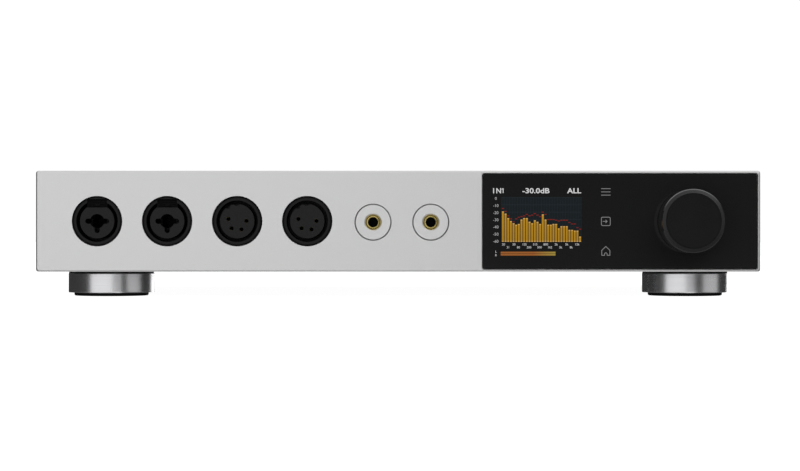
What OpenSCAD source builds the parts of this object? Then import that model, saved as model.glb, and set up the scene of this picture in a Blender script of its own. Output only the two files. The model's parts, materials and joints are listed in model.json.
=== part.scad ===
// Desktop DAC and headphone amplifier: a wide, low aluminium case on four turned feet.
// Front (-Y): two combo sockets, two four-pin sockets, two 4.4 mm jacks, a black glass fascia
// with a colour display and three touch marks, and one turn-and-press knob.
// Rear (+Y): line outputs, digital inputs, voltage selector and mains module.
// Units are millimetres. Z is up, X runs to the right as seen from the front.

/* [Case] */
// Width of the front panel
body_w = 344; // [340:1:352]
// Height of the front panel
body_h = 48; // [47.5:0.5:52]
// Depth from the front panel's face to the rear panel's face
body_d = 256; // [250:1:290]
// Thickness of the front panel
front_t = 8; // [7:0.5:9]
// Thickness of the side panels
side_t = 5; // [4:0.5:5]
// Thickness of the top cover
cover_t = 2.5; // [2:0.5:3]
// Thickness of the bottom plate
base_t = 2; // [2:0.5:3]
// Thickness of the rear panel
rear_t = 2.5; // [2:0.5:3]
// Bevel round the front panel's face
edge_bevel = 0.7; // [0.4:0.1:1]

/* [Feet] */
// Diameter of a front foot's metal shell
foot_d = 41.6; // [36:0.2:44]
// Diameter of a rear foot's metal shell
rear_foot_d = 30; // [26:1:32]
// Height of a foot's metal shell
foot_h = 9.6; // [8:0.2:14]
// How much narrower a rubber pad is than its foot
pad_margin = 5.6; // [4:0.2:8]
// Distance of the front feet from the middle plane
foot_x = 140; // [120:0.5:142]
// Distance of the rear feet from the middle plane
rear_foot_x = 153; // [120:0.5:153]

/* [Front controls] */
// Distance between the centres of the round sockets
socket_pitch = 33.25; // [30:0.25:33.5]
// Distance between the centres of the two small jacks
jack_pitch = 27.4; // [22:0.2:27.4]
// Diameter of the knob
knob_d = 30; // [26:0.2:32]
// How far the knob stands in front of the panel
knob_out = 17; // [15:0.5:20]
// How far the knob travels when it is pressed
press_travel = 0.5; // [0.3:0.1:0.6]

/* [Fascia] */
// Width of the black glass
fascia_w = 130.6; // [126:0.2:130.6]
// Height of the black glass
fascia_h = 45.4; // [42:0.2:45.4]
// Width of the display's visible module
lcd_w = 50; // [46:1:50]
// Height of the display's visible module
lcd_h = 40; // [36:1:40]

/* [Hidden] */
$fn = 64;
// What the two ends add to the depth of the case, and the frame's reference planes.
rca_out = 9.5;
spacer_h = 0.8;
pad_h = 1.6;
base_z = pad_h + foot_h + spacer_h;
mid_z = base_z + body_h / 2;
top_z = base_z + body_h - 0.5;
front_y = knob_out - (knob_out + body_d + rca_out) / 2;
back_y = front_y + front_t;
rear_y = front_y + body_d;
wall_y = rear_y - rear_t;
side_x = body_w / 2 - 1;
inner_x = side_x - side_t;
floor_z = base_z + base_t;
seam = 0.25;

// Screws: shank radius, the hole it turns in, and the hole it passes through.
screw_r = 1.45;
tapped_r = 1.5;
passing_r = 1.7;
boss = 8;
boss_x = inner_x - boss / 2;
cover_screw_y = [back_y + 16, (back_y + wall_y) / 2, wall_y - 16];
base_screw_y = [back_y + 70, (back_y + wall_y) / 2, wall_y - 16];
bracket_h = 23;
bracket_hole_z = [mid_z - 7, mid_z + 7];

// Feet.
// Each foot's place on X and Y, and its shell's radius.
foot_front_y = front_y + 32;
foot_rear_y = rear_y - 50;
front_feet = [for (s = [-1, 1]) [s * foot_x, foot_front_y, foot_d / 2]];
rear_feet = [for (s = [-1, 1]) [s * rear_foot_x, foot_rear_y, rear_foot_d / 2]];
feet = concat(front_feet, rear_feet);
foot_bolt_r = 1.95;

// Round sockets on the front, from the left.
socket_x0 = -142.9;
combo_x = [socket_x0, socket_x0 + socket_pitch];
four_pin_x = [socket_x0 + 2 * socket_pitch, socket_x0 + 3 * socket_pitch];
socket_hole_r = 12;
shell_r = 11.8;
shell_face_r = 10.9;
groove_r = 9.85;
groove_depth = 15;
insert_r = 8.15;
contact_ring_r = 4.35;
jack_bore_r = 3.4;
combo_depth = 35;
slot_depth = 11;
flange_w = 26;
flange_h = 30;
flange_z = -front_t - 2.8;
small_jack_x = [-11.9, -11.9 + jack_pitch];
small_jack_dz = -0.5;
small_hole_r = 8.8;
small_ring_r = 8.4;
small_sleeve_r = 3.7;
small_bore_r = 2.3;

// Fascia, display and knob.
fascia_x = 105.3;
fascia_dz = -0.1;
fascia_gap = 0.35;
recess = 2.2;
lcd_x = 65.9;
touch_x = 98.6;
knob_x = 138.2;
knob_gap = press_travel + 0.5;
rotor_face = -9.3;
bush_r = 4.5;
shaft_r = 3;
running = 0.05;
flat_y = 2;
board_t = 1.6;

// Rear sockets, in world X.
line_out_x = [140, 108];
rca_x = [80, 60];
rca_dz = 10;
coax_x = 34;
optical_x = 14;
usb_x = -8;
selector_x = -52;
mains_x = -120;
mains_w = 60;
mains_h = 31;
rear_depth = 20;
rocker_x = -17;
rocker_tilt = 9;
rocker_pivot_z = -4;
inlet_x = 10;

// ---------- Helpers ----------

// A quarter circle of points round [cx, cy], from angle a.
function corner(cx, cy, r, a, n = 6) =
    [for (i = [0:n]) [cx + r * cos(a + 90 * i / n), cy + r * sin(a + 90 * i / n)]];

// The outline of a rectangle with round corners, centred.
function rounded(w, h, r) = concat(
    corner(w / 2 - r, h / 2 - r, r, 0), corner(r - w / 2, h / 2 - r, r, 90),
    corner(r - w / 2, r - h / 2, r, 180), corner(w / 2 - r, r - h / 2, r, 270));

// A plate with round corners, centred on X and Y, from z0 to z1.
module plate(w, h, r, z0, z1) {
    translate([0, 0, z0]) linear_extrude(z1 - z0) polygon(rounded(w, h, r));
}

// A block centred on X and Y, from z0 to z1.
module block(w, h, z0, z1) {
    translate([-w / 2, -h / 2, z0]) cube([w, h, z1 - z0]);
}

// A cylinder from z0 to z1.
module rod(r, z0, z1) {
    translate([0, 0, z0]) cylinder(r = r, h = z1 - z0);
}

// A tube from z0 to z1.
module tube(r_out, r_in, z0, z1) {
    difference() {
        rod(r_out, z0, z1);
        rod(r_in, z0 - 1, z1 + 1);
    }
}

// Puts children on the front panel: X right, Y up and Z out towards the user.
module front(x, z = 0) {
    translate([x, front_y, mid_z + z]) rotate([90, 0, 0]) children();
}

// Puts children on the rear panel, as seen from behind: Y up and Z out to the rear.
module rear(x, z = 0) {
    translate([x, rear_y, mid_z + z]) rotate([90, 0, 180]) children();
}

// A countersunk screw with a hexagon recess, its head's face at z = 0 and its tip at -length.
module countersunk_screw(length) {
    head_r = 2.9;
    head_h = 1.6;
    difference() {
        union() {
            translate([0, 0, -head_h]) cylinder(r1 = screw_r, r2 = head_r, h = head_h);
            rod(screw_r, -length, -head_h);
        }
        translate([0, 0, -1.2]) cylinder(r = 1.15, h = 2, $fn = 6);
    }
}

// The hole for that screw through a sheet of thickness t whose face is at z = 0.
module countersink(t) {
    rod(passing_r, -t - 1, 1);
    translate([0, 0, -1.75]) cylinder(r1 = screw_r + 0.1, r2 = 3.05, h = 1.751);
}

// ---------- Case ----------

module front_panel() {
    color("silver") front(0) difference() {
        hull() {
            plate(body_w, body_h, 1.2, -front_t, -edge_bevel);
            plate(body_w - 2 * edge_bevel, body_h - 2 * edge_bevel, 1, -0.02, 0);
        }
        for (x = concat(combo_x, four_pin_x))
            translate([x, 0, 0]) rod(socket_hole_r, -front_t - 1, 1);
        for (x = small_jack_x)
            translate([x, small_jack_dz, 0]) rod(small_hole_r, -front_t - 1, 1);
        translate([fascia_x, fascia_dz, 0])
            plate(fascia_w + 2 * fascia_gap, fascia_h + 2 * fascia_gap, 1.3, -recess, 1);
        translate([lcd_x, 0, 0]) plate(lcd_w + 1, lcd_h + 1, 1, -front_t - 1, 0);
        translate([touch_x, 0, 0]) plate(13, lcd_h + 1, 1, -front_t - 1, 0);
        translate([knob_x, 0, 0]) rod(bush_r + running, -front_t - 1, 0);
        for (side = [-1, 1], z = bracket_hole_z)
            translate([side * (inner_x - 4.5), z - mid_z, 0])
                rod(tapped_r, -front_t - 1, -front_t + 5);
    }
}

// One side panel, an extrusion with a screw boss along its top and bottom edges.
module side_panel(side) {
    bevel = 0.5;
    outline = [[side_x - bevel, base_z], [side_x, base_z + bevel], [side_x, top_z - bevel],
               [side_x - bevel, top_z], [inner_x, top_z],
               [inner_x, top_z - cover_t], [inner_x - boss, top_z - cover_t],
               [inner_x - boss, top_z - cover_t - boss], [inner_x, top_z - cover_t - boss],
               [inner_x, floor_z + boss], [inner_x - boss, floor_z + boss],
               [inner_x - boss, floor_z], [inner_x, floor_z], [inner_x, base_z]];
    boss_z = [floor_z + boss / 2, top_z - cover_t - boss / 2];
    color("silver") mirror([side < 0 ? 1 : 0, 0, 0]) difference() {
        translate([0, rear_y, 0]) rotate([90, 0, 0])
            linear_extrude(rear_y - back_y) polygon(outline);
        translate([0, wall_y, base_z - 1]) cube([inner_x, rear_t + 1, body_h + 2]);
        for (z = boss_z)
            translate([boss_x, wall_y + 1, z]) rotate([90, 0, 0]) rod(tapped_r, 0, 12);
        for (y = cover_screw_y)
            translate([boss_x, y, 0]) rod(tapped_r, top_z - cover_t - 6.5, top_z);
        for (y = base_screw_y)
            translate([boss_x, y, 0]) rod(tapped_r, floor_z - 1, floor_z + 6.5);
        for (z = bracket_hole_z)
            translate([inner_x - 1, back_y + 12, z]) rotate([0, 90, 0]) rod(tapped_r, 0, 4);
    }
}

// One group of ventilation slots, with columns along X, centred.
module vent_slots(columns, rows, length, t) {
    pitch = 6.5;
    gap = 8;
    for (i = [0:columns - 1], j = [0:rows - 1])
        translate([(i - (columns - 1) / 2) * pitch,
                   (j - (rows - 1) / 2) * (length + gap), 0])
            plate(2.8, length, 1.39, -t - 1, 1);
}

module top_cover() {
    depth = wall_y - back_y - 2 * seam;
    width = 2 * (inner_x - seam);
    color("silver") translate([0, (back_y + wall_y) / 2, top_z]) difference() {
        block(width, depth, -cover_t, 0);
        for (x = [-1, 1])
            translate([x * 92, 8, 0]) vent_slots(16, 2, 62, cover_t);
        for (x = [-1, 1], y = cover_screw_y)
            translate([x * boss_x, y - (back_y + wall_y) / 2, 0]) countersink(cover_t);
    }
}

module bottom_plate() {
    depth = wall_y - back_y - 2 * seam;
    width = 2 * (inner_x - seam);
    mid_y = (back_y + wall_y) / 2;
    color([0.1, 0.1, 0.1]) translate([0, mid_y, base_z]) difference() {
        block(width, depth, 0, base_t);
        for (x = [14, 98])
            translate([x, 0, base_t]) vent_slots(10, 1, 70, base_t);
        for (x = [-1, 1], y = base_screw_y)
            translate([x * boss_x, y - mid_y, 0]) mirror([0, 0, 1]) countersink(base_t);
        for (foot = feet)
            translate([foot[0], foot[1] - mid_y, 0]) rod(foot_bolt_r + 0.2, -1, base_t + 1);
        for (p = standoff_places())
            translate([p[0], p[1] - mid_y, 0]) rod(passing_r, -1, base_t + 1);
        translate([toroid_x, toroid_y - mid_y, 0]) rod(3.2, -1, base_t + 1);
    }
}

module rear_panel() {
    width = 2 * (inner_x - seam);
    color("silver") difference() {
        translate([-width / 2, wall_y, base_z]) cube([width, rear_t, top_z - base_z]);
        rear(0) {
            for (x = line_out_x)
                translate([-x, 0, 0]) rod(socket_hole_r, -5, 1);
            for (x = rca_x, dz = [-rca_dz, rca_dz])
                translate([-x, dz, 0]) rod(5.2, -5, 1);
            translate([-coax_x, 0, 0]) rod(5.2, -5, 1);
            translate([-optical_x, 0, 0]) plate(12.4, 12.4, 0.8, -5, 1);
            translate([-usb_x, 0, 0]) plate(12.8, 11.6, 0.8, -5, 1);
            translate([-selector_x, 0, 0]) plate(20.4, 12.4, 0.8, -5, 1);
            translate([-mains_x, 0, 0]) plate(mains_w - 6, mains_h - 4, 1, -5, 1);
        }
        for (side = [-1, 1], z = [floor_z + boss / 2, top_z - cover_t - boss / 2])
            translate([side * boss_x, rear_y, z]) rotate([-90, 0, 0]) countersink(rear_t);
    }
}

// Angle brackets that hold the front panel to the sides, from inside.
module front_brackets() {
    leg = 8.5;
    sheet = 2;
    color("lightgray") for (side = [-1, 1]) mirror([side < 0 ? 1 : 0, 0, 0])
        difference() {
            union() {
                translate([inner_x - leg, back_y, mid_z - bracket_h / 2])
                    cube([leg, sheet, bracket_h]);
                translate([inner_x - sheet, back_y, mid_z - bracket_h / 2])
                    cube([sheet, 18, bracket_h]);
            }
            for (z = bracket_hole_z) {
                translate([inner_x - 4.5, back_y + 5, z]) rotate([90, 0, 0])
                    rod(passing_r, 0, 9);
                translate([inner_x - 5, back_y + 12, z]) rotate([0, 90, 0])
                    rod(passing_r, 0, 9);
            }
        }
}

// A pan head screw with its seat at z = 0 and its shank going down.
module pan_screw(length, head_r = 2.7) {
    difference() {
        union() {
            rod(head_r, 0, 1.8);
            rod(screw_r, -length, 0);
        }
        translate([0, 0, 0.7]) cylinder(r = 1.3, h = 2, $fn = 6);
    }
}

module bracket_screws() {
    color("dimgray") for (side = [-1, 1], z = bracket_hole_z)
        mirror([side < 0 ? 1 : 0, 0, 0]) {
            translate([inner_x - 5, back_y + 2, z]) rotate([-90, 0, 0])
                translate([0.5, 0, 0]) pan_screw(6, 2.3);
            translate([inner_x - 2, back_y + 12, z]) rotate([0, -90, 0]) pan_screw(4.8);
        }
}

// The countersunk screws of the top cover, the bottom plate and the rear panel.
module case_screws() {
    length = 7.5;
    color("dimgray") for (side = [-1, 1]) {
        for (y = cover_screw_y)
            translate([side * boss_x, y, top_z]) countersunk_screw(length);
        for (y = base_screw_y)
            translate([side * boss_x, y, base_z]) mirror([0, 0, 1]) countersunk_screw(length);
        for (z = [floor_z + boss / 2, top_z - cover_t - boss / 2])
            translate([side * boss_x, rear_y, z]) rotate([-90, 0, 0]) countersunk_screw(length);
    }
}

// ---------- Feet ----------

// A turned foot shell with bevelled edges, a recess for its pad and a counterbore for its bolt.
module foot_shell(r) {
    bevel = 0.6;
    recess_r = r - pad_margin / 2 + 0.1;
    z0 = pad_h;
    z1 = pad_h + foot_h;
    outline = [[2.2, z1], [r - bevel, z1], [r, z1 - bevel], [r, z0 + bevel],
               [r - bevel, z0], [recess_r, z0], [recess_r, z0 + 0.8], [4.4, z0 + 0.8],
               [4.4, z0 + 5], [2.2, z0 + 5]];
    rotate_extrude($fn = 96) polygon(outline);
}

module foot_shells(places) {
    color("gray") for (foot = places)
        translate([foot[0], foot[1], 0]) foot_shell(foot[2]);
}

module foot_pad(r) {
    z1 = pad_h + 0.75;
    outline = [[0, 0], [r - 0.7, 0], [r - 0.2, 0.2], [r, 0.7], [r, z1], [0, z1]];
    rotate_extrude($fn = 96) polygon(outline);
}

module foot_pads() {
    color("black") for (foot = feet)
        translate([foot[0], foot[1], 0]) foot_pad(foot[2] - pad_margin / 2);
}

module foot_spacers() {
    color("black") for (foot = feet)
        translate([foot[0], foot[1], 0]) tube(foot[2] - 0.3, 2.3, base_z - spacer_h, base_z);
}

module foot_bolts() {
    seat_z = pad_h + 5;
    color("dimgray") for (foot = feet)
        translate([foot[0], foot[1], 0]) difference() {
            union() {
                rod(4, seat_z - 3.2, seat_z);
                rod(foot_bolt_r, seat_z, floor_z + 4.5);
            }
            translate([0, 0, seat_z - 4]) cylinder(r = 1.8, h = 2.4, $fn = 6);
        }
}

module foot_nuts() {
    color("dimgray") for (foot = feet)
        translate([foot[0], foot[1], floor_z]) difference() {
            cylinder(r = 4.04, h = 3.2, $fn = 6);
            rod(foot_bolt_r + running, -1, 4.2);
        }
}

// ---------- Round sockets on the front ----------

// The shell that both kinds of round socket share: a front barrel, a flange behind the panel
// and a rear barrel, with a deep groove for the plug's own shell.
module socket_shell_body() {
    barrel = [[insert_r + running, -groove_depth - 9], [shell_r - 0.8, -groove_depth - 9],
              [shell_r - 0.8, flange_z], [shell_r, flange_z], [shell_r, -0.9],
              [shell_face_r, 0], [groove_r, 0], [groove_r, -groove_depth],
              [insert_r + running, -groove_depth]];
    rotate_extrude($fn = 96) polygon(barrel);
    difference() {
        plate(flange_w, flange_h, 2, flange_z, -front_t);
        rod(shell_r - 0.01, flange_z - 1, 0);
        for (s = [-1, 1])
            translate([s * 10.3, s * 12, 0]) rod(tapped_r, flange_z - 1, 0);
    }
}

module four_pin_shell(x) {
    color("black") front(x) socket_shell_body();
}

// A four-pin insert, with two shallow keying notches on its rim.
module four_pin_insert(x) {
    face = -0.6;
    first_angle = 166;
    step = 65.3;
    color([0.16, 0.16, 0.16]) front(x) difference() {
        rod(insert_r, -groove_depth - 9, face);
        for (i = [0:3]) rotate(first_angle + i * step) translate([contact_ring_r, 0, 0]) {
            rod(1, -5, 1);
            rod(1.35, -groove_depth - 10, -2.2);
        }
        rotate(92) translate([insert_r + 1.4, 0, 0]) rod(2.2, -4, 1);
        rotate(122) translate([insert_r + 0.1, 0, 0]) rod(1.1, -4, 1);
    }
}

key_w = 9.4;
key_y = 6.5;

// The combo's shell: a wide key block closes the groove at the top.
module combo_shell(x) {
    key_top = 10.6;
    color("black") front(x) difference() {
        union() {
            socket_shell_body();
            intersection() {
                rod(groove_r + 0.01, -groove_depth, -1.4);
                translate([-key_w / 2, key_y + 0.05, -groove_depth - 1])
                    cube([key_w, key_top - key_y, groove_depth + 1]);
            }
        }
        translate([-key_w / 2, key_y, -1.4]) cube([key_w, key_top - key_y, 2]);
    }
}

// The combo's insert: a quarter-inch bore, three contact slots that open into it, and a flat top.
module combo_insert(x) {
    face = -0.4;
    slot_r = 1.25;
    color([0.16, 0.16, 0.16]) front(x) difference() {
        rod(insert_r, -combo_depth, face);
        translate([-insert_r, key_y, -groove_depth]) cube([2 * insert_r, 4, groove_depth + 1]);
        rod(jack_bore_r, -combo_depth + 1.5, 1);
        for (a = [0, 180, 270]) rotate(a) {
            translate([4.4, 0, 0]) rod(slot_r, -slot_depth, 1);
            translate([0, -slot_r, -slot_depth]) cube([4.4, 2 * slot_r, slot_depth + 1]);
            translate([4.75, 0, 0]) rod(0.9, -combo_depth - 1, -slot_depth + 1);
        }
    }
}

// Sprung contact tubes of the combo and four-pin sockets, with their solder tails.
module socket_contacts() {
    color("gold") {
        for (x = four_pin_x) front(x) for (i = [0:3])
            rotate(166 + i * 65.3) translate([contact_ring_r, 0, 0]) difference() {
                union() {
                    rod(1.3, -17, -2.3);
                    rod(0.5, -27.5, -17);
                }
                rod(0.95, -15, 0);
            }
        for (x = combo_x) front(x) for (a = [0, 180, 270])
            rotate(a) translate([4.75, 0, 0]) difference() {
                rod(0.85, -combo_depth - 2, -slot_depth - 0.2);
                rod(0.5, -24, 0);
            }
    }
}

// ---------- 4.4 mm jacks ----------

module small_jack_bezels() {
    outline = [[small_sleeve_r + running, -front_t - 2], [10.5, -front_t - 2],
               [10.5, -front_t], [small_ring_r, -front_t], [small_ring_r, -0.3],
               [small_ring_r - 0.3, 0], [small_sleeve_r + 0.5, 0],
               [small_sleeve_r + running, -0.4]];
    color("gainsboro") for (x = small_jack_x)
        front(x, small_jack_dz) rotate_extrude($fn = 96) polygon(outline);
}

module small_jack_sleeves() {
    outline = [[small_bore_r, -12], [small_sleeve_r, -12], [small_sleeve_r, -0.6],
               [small_sleeve_r - 0.4, -0.2], [small_bore_r + 0.5, -0.2],
               [small_bore_r, -0.7]];
    color("goldenrod") for (x = small_jack_x)
        front(x, small_jack_dz) rotate_extrude($fn = 64) polygon(outline);
}

module small_jack_bodies() {
    color([0.1, 0.1, 0.1]) for (x = small_jack_x) front(x, small_jack_dz) difference() {
        block(14, 14, -25.5, -12);
        rod(small_bore_r, -24, -11);
    }
}

module headphone_board() {
    left = -158;
    right = 27;
    color("darkgreen") difference() {
        translate([left, front_y + 25.6, floor_z + 1.5])
            cube([right - left, board_t, top_z - cover_t - floor_z - 3]);
        for (x = combo_x)
            front(x) rod(insert_r + 0.3, -40, 0);
        for (x = four_pin_x) front(x) for (i = [0:3])
            rotate(166 + i * 65.3) translate([contact_ring_r, 0, 0]) rod(0.6, -40, 0);
        translate([-inner_x, front_y + 25, floor_z])
            cube([boss + 1, 4, boss + 0.5]);
        translate([-inner_x, front_y + 25, top_z - cover_t - boss - 0.5])
            cube([boss + 1, 4, boss + 1]);
    }
}

// ---------- Fascia, display and knob ----------

module fascia_glass() {
    color([0.04, 0.04, 0.05]) front(fascia_x, fascia_dz) difference() {
        hull() {
            plate(fascia_w, fascia_h, 1, -recess, -0.4);
            plate(fascia_w - 0.5, fascia_h - 0.5, 0.9, -0.12, -0.1);
        }
        translate([knob_x - fascia_x, -fascia_dz, 0]) rod(7.5, -recess - 1, 1);
    }
}

module display_module() {
    color([0.12, 0.13, 0.15]) front(lcd_x) plate(lcd_w, lcd_h, 0.5, -5.6, -recess - 0.05);
}

module touch_board() {
    color("darkgreen") front(touch_x) plate(12, lcd_h - 2, 0.5, -3.4, -recess - 0.05);
}

module display_board() {
    depth = 16;
    color("darkgreen") front(104)
        plate(108, 38, 1, -depth - board_t, -depth - 0.05);
}

module encoder_body() {
    color("silver") front(knob_x) difference() {
        union() {
            block(12.4, 12.4, -16, -front_t - 0.05);
            rod(bush_r, -front_t - 0.1, 2.6);
        }
        rod(shaft_r + running, -9, 3);
        rod(4.6, -13.6, -9);
        rod(3.3, -15.5, -13.5);
    }
}

module encoder_nut() {
    color("silver") front(knob_x) difference() {
        union() {
            cylinder_hex(6.3, -recess + 0.7, 0.6);
            rod(6.9, -recess + 0.05, -recess + 0.7);
        }
        rod(bush_r + running, -recess - 1, 2);
    }
}

module cylinder_hex(r, z0, z1) {
    translate([0, 0, z0]) cylinder(r = r, h = z1 - z0, $fn = 6);
}

// The encoder's detent wheel: it turns with the shaft, which slides through its flatted hole.
module encoder_rotor() {
    color("ivory") front(knob_x) difference() {
        rod(4.4, -13.4, rotor_face);
        intersection() {
            rod(shaft_r + running, -14, -9);
            translate([-5, -flat_y - running, -15]) cube([10, 10, 7]);
        }
    }
}

module knob_shaft() {
    flat_end = rotor_face + press_travel + 0.2;
    color("gray") front(knob_x) difference() {
        rod(shaft_r, -14.8, 13.9);
        translate([-5, -flat_y - 5, -15]) cube([10, 5, 15 + flat_end]);
        translate([-5, -flat_y - 5, 4]) cube([10, 5, 12]);
    }
}

module knob() {
    r = knob_d / 2;
    bevel = 1.5;
    outline = [[8.6, knob_gap], [r - 0.4, knob_gap], [r, knob_gap + 0.4], [r, knob_out - bevel],
               [r - bevel, knob_out], [0, knob_out], [0, 14.1], [shaft_r + 0.02, 14.1],
               [shaft_r + 0.02, 3.4], [8.6, 3.4]];
    color([0.1, 0.1, 0.1]) front(knob_x) difference() {
        rotate_extrude($fn = 128) polygon(outline);
        translate([0, 0, 9]) rotate([90, 0, 0]) rod(tapped_r, 0, r + 1);
    }
}

module knob_set_screw() {
    color("dimgray") front(knob_x) translate([0, 0, 9]) rotate([90, 0, 0]) difference() {
        rod(screw_r, flat_y + 0.02, 7.5);
        cylinder_hex(0.8, 6, 8);
    }
}

// ---------- Electronics ----------

toroid_x = -98;
toroid_y = 18;
toroid_r = 44;
toroid_h = 33;
main_left = -40;
main_right = 152;
main_front = -88;
main_rear = 100;
board_z = floor_z + 8;

// Where the main board's standoffs stand.
function standoff_places() =
    [for (x = [main_left + 6, (main_left + main_right) / 2, main_right - 6],
          y = [main_front + 6, main_rear - 6]) [x, y]];

module main_board() {
    color("darkgreen") difference() {
        translate([main_left, main_front, board_z])
            cube([main_right - main_left, main_rear - main_front, board_t]);
        for (p = standoff_places()) translate([p[0], p[1], 0]) rod(passing_r, 0, 40);
    }
}

module board_standoffs() {
    color("goldenrod") for (p = standoff_places()) translate([p[0], p[1], 0]) {
        difference() {
            cylinder_hex(3.2, floor_z, board_z);
            rod(1.2, floor_z - 1, board_z + 1);
        }
        rod(2.7, board_z + board_t, board_z + board_t + 1.8);
    }
}

// Chip packages and relays on the main board.
module board_chips() {
    top = board_z + board_t + 0.02;
    color([0.12, 0.12, 0.12]) {
        for (i = [0:3], j = [0:2])
            translate([main_left + 40 + i * 34, main_front + 40 + j * 40, 0])
                block(14, 14, top, top + 2.2);
        for (i = [0:3])
            translate([main_left + 34 + i * 38, main_rear - 26, 0])
                block(20, 12, top, top + 11);
    }
}

module filter_capacitors() {
    top = board_z + board_t + 0.02;
    color([0.1, 0.12, 0.2]) for (i = [0:4], j = [0:1])
        translate([main_left + 16 + j * 151, main_front + 46 + i * 22, 0])
            rod(8, top, top + 22);
}

// The toroidal mains transformer, wound and wrapped, as one ring.
module transformer() {
    bore = 14;
    round_r = 6;
    z0 = floor_z + 1.2;
    z1 = z0 + toroid_h;
    arc = [for (q = [[toroid_r - round_r, z1 - round_r, 0], [bore + round_r, z1 - round_r, 90],
                     [bore + round_r, z0 + round_r, 180], [toroid_r - round_r, z0 + round_r, 270]])
              each corner(q[0], q[1], round_r, q[2])];
    color("goldenrod") translate([toroid_x, toroid_y, 0])
        rotate_extrude($fn = 96) polygon(arc);
}

// Two washers, a rubber sheet's worth apart, and the bolt that clamps the transformer down.
module transformer_clamp() {
    z0 = floor_z + 1.2;
    z1 = z0 + toroid_h;
    color("dimgray") translate([toroid_x, toroid_y, 0]) {
        rod(38, floor_z + 0.02, z0 - 0.02);
        rod(30, z1 + 0.02, z1 + 1.52);
        cylinder_hex(5.5, z1 + 1.5, z1 + 5.5);
        rod(3, base_z, z1 + 1.6);
    }
}

// Mains wires from the inlet to the transformer, with a little room at its curved side.
module mains_leads() {
    wire_r = 1.1;
    room = 2;
    color("saddlebrown") for (x = [-132, -128, -124])
        translate([x, wall_y - 34, mid_z - 4]) rotate([90, 0, 0])
            rod(wire_r, 0, wall_y - 34 - toroid_y
                - sqrt(pow(toroid_r, 2) - pow(x - toroid_x, 2)) - room);
}

// Flat cable from the display board down to the main board's plug.
module display_ribbon() {
    width = 22;
    y0 = front_y + 16 + board_t + 0.1;
    z1 = mid_z + 4;
    z0 = board_z + board_t + 3;
    strip = 0.8;
    outline = [[y0, z1], [y0 + 6, z1], [main_front + 8, z0 + strip], [main_front + 14, z0 + strip],
               [main_front + 14, board_z + board_t + 0.05], [main_front + 8, board_z + board_t + 0.05],
               [main_front + 8, z0], [y0 + 6, z1 - strip], [y0, z1 - strip]];
    color("lightgray") translate([85 - width / 2, 0, 0]) rotate([90, 0, 90])
        linear_extrude(width) polygon(outline);
}

// ---------- Rear sockets ----------

// Mains module: flange, body, inlet cavity, fuse channel and rocker well.
module mains_module() {
    color([0.08, 0.08, 0.08]) rear(mains_x) difference() {
        union() {
            hull() {
                plate(mains_w, mains_h, 2.5, 0.02, 1.6);
                plate(mains_w - 1.6, mains_h - 1.6, 2, 1.6, 2.4);
            }
            plate(mains_w - 6.6, mains_h - 4.6, 1, -33, 0.03);
        }
        translate([inlet_x + 1, 3.6, 0]) plate(24.8, 16.6, 3, -15, 4);
        translate([inlet_x + 1, -9.2, 0]) block(23, 6.4, -24, 4);
        translate([rocker_x, 0, 0]) block(14.4, 22, -10.5, 4);
        translate([rocker_x, 0, rocker_pivot_z]) rotate([0, 90, 0]) rod(1.5 + running, -9, 9);
        for (p = blade_places())
            translate([inlet_x + 1 + p[0], 3.6 + p[1], 0]) block(2.2, 4.2, -34, 0);
    }
}

// The three contact blades of the inlet, from the cavity's centre.
function blade_places() = [[-7, -1.6], [0, 2.4], [7, -1.6]];

module inlet_blades() {
    color("silver") rear(mains_x) for (p = blade_places())
        translate([inlet_x + 1 + p[0], 3.6 + p[1], 0]) block(2, 4, -37, -2);
}

// The fuse drawer, a tray with a finger lip, holding one glass fuse.
module fuse_drawer() {
    color([0.13, 0.13, 0.13]) rear(mains_x) translate([inlet_x + 1, -9.2, 0]) difference() {
        union() {
            block(22.6, 6, -23.5, 2.4);
            translate([0, 0, 2.4]) block(12, 2, 0, 1);
        }
        translate([0, 0.8, -12]) block(18, 5.2, -9, 9);
    }
}

// The rocker, resting with its upper half pressed in.
module power_rocker() {
    outline = [[-9.6, 6], [0, 4.2], [9.6, 6], [9.6, 1], [5, -4], [-5, -4], [-9.6, 1]];
    color([0.07, 0.07, 0.07]) rear(mains_x) translate([rocker_x, 0, rocker_pivot_z])
        rotate([-rocker_tilt, 0, 0]) {
            rotate([90, 0, 90]) translate([0, 0, -7]) linear_extrude(14) polygon(outline);
            rotate([0, 90, 0]) rod(1.5, -8.8, 8.8);
        }
}

module voltage_selector() {
    color([0.1, 0.1, 0.1]) rear(selector_x) difference() {
        union() {
            plate(20, 12, 0.6, -12, 0.1);
            plate(24, 15, 1, 0.02, 1.2);
        }
        block(14, 7, -6, 2);
    }
}

module voltage_slider() {
    color("crimson") rear(selector_x) translate([-3, 0, 0]) difference() {
        union() {
            block(7.4, 6.6, -5.8, -1.5);
            block(5, 6.6, -1.5, 0.3);
        }
        block(1.2, 8, -0.5, 2);
    }
}

// Male output sockets: a flange on the panel and a cup for the plug.
module line_out_shells() {
    cup_r = 9.8;
    color([0.1, 0.1, 0.1]) for (x = line_out_x) rear(x) difference() {
        union() {
            hull() {
                plate(flange_w, flange_h + 1, 3, 0.02, 1.4);
                plate(flange_w - 1, flange_h, 2.6, 1.4, 2);
            }
            rod(shell_r, -rear_depth, 0.03);
        }
        rod(cup_r, -13, 3);
        for (a = [0, 180, 270]) rotate(a) translate([contact_ring_r, 0, 0]) rod(1.25, -30, 0);
        for (s = [-1, 1]) translate([s * 9.5, s * 12, 0]) rod(passing_r, -1, 3);
    }
}

module line_out_pins() {
    color("gold") for (x = line_out_x) rear(x) for (a = [0, 180, 270])
        rotate(a) translate([contact_ring_r, 0, 0]) {
            rod(1.2, -rear_depth - 3, -1.6);
            translate([0, 0, -1.6]) cylinder(r1 = 1.2, r2 = 0.6, h = 0.8);
        }
}

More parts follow.
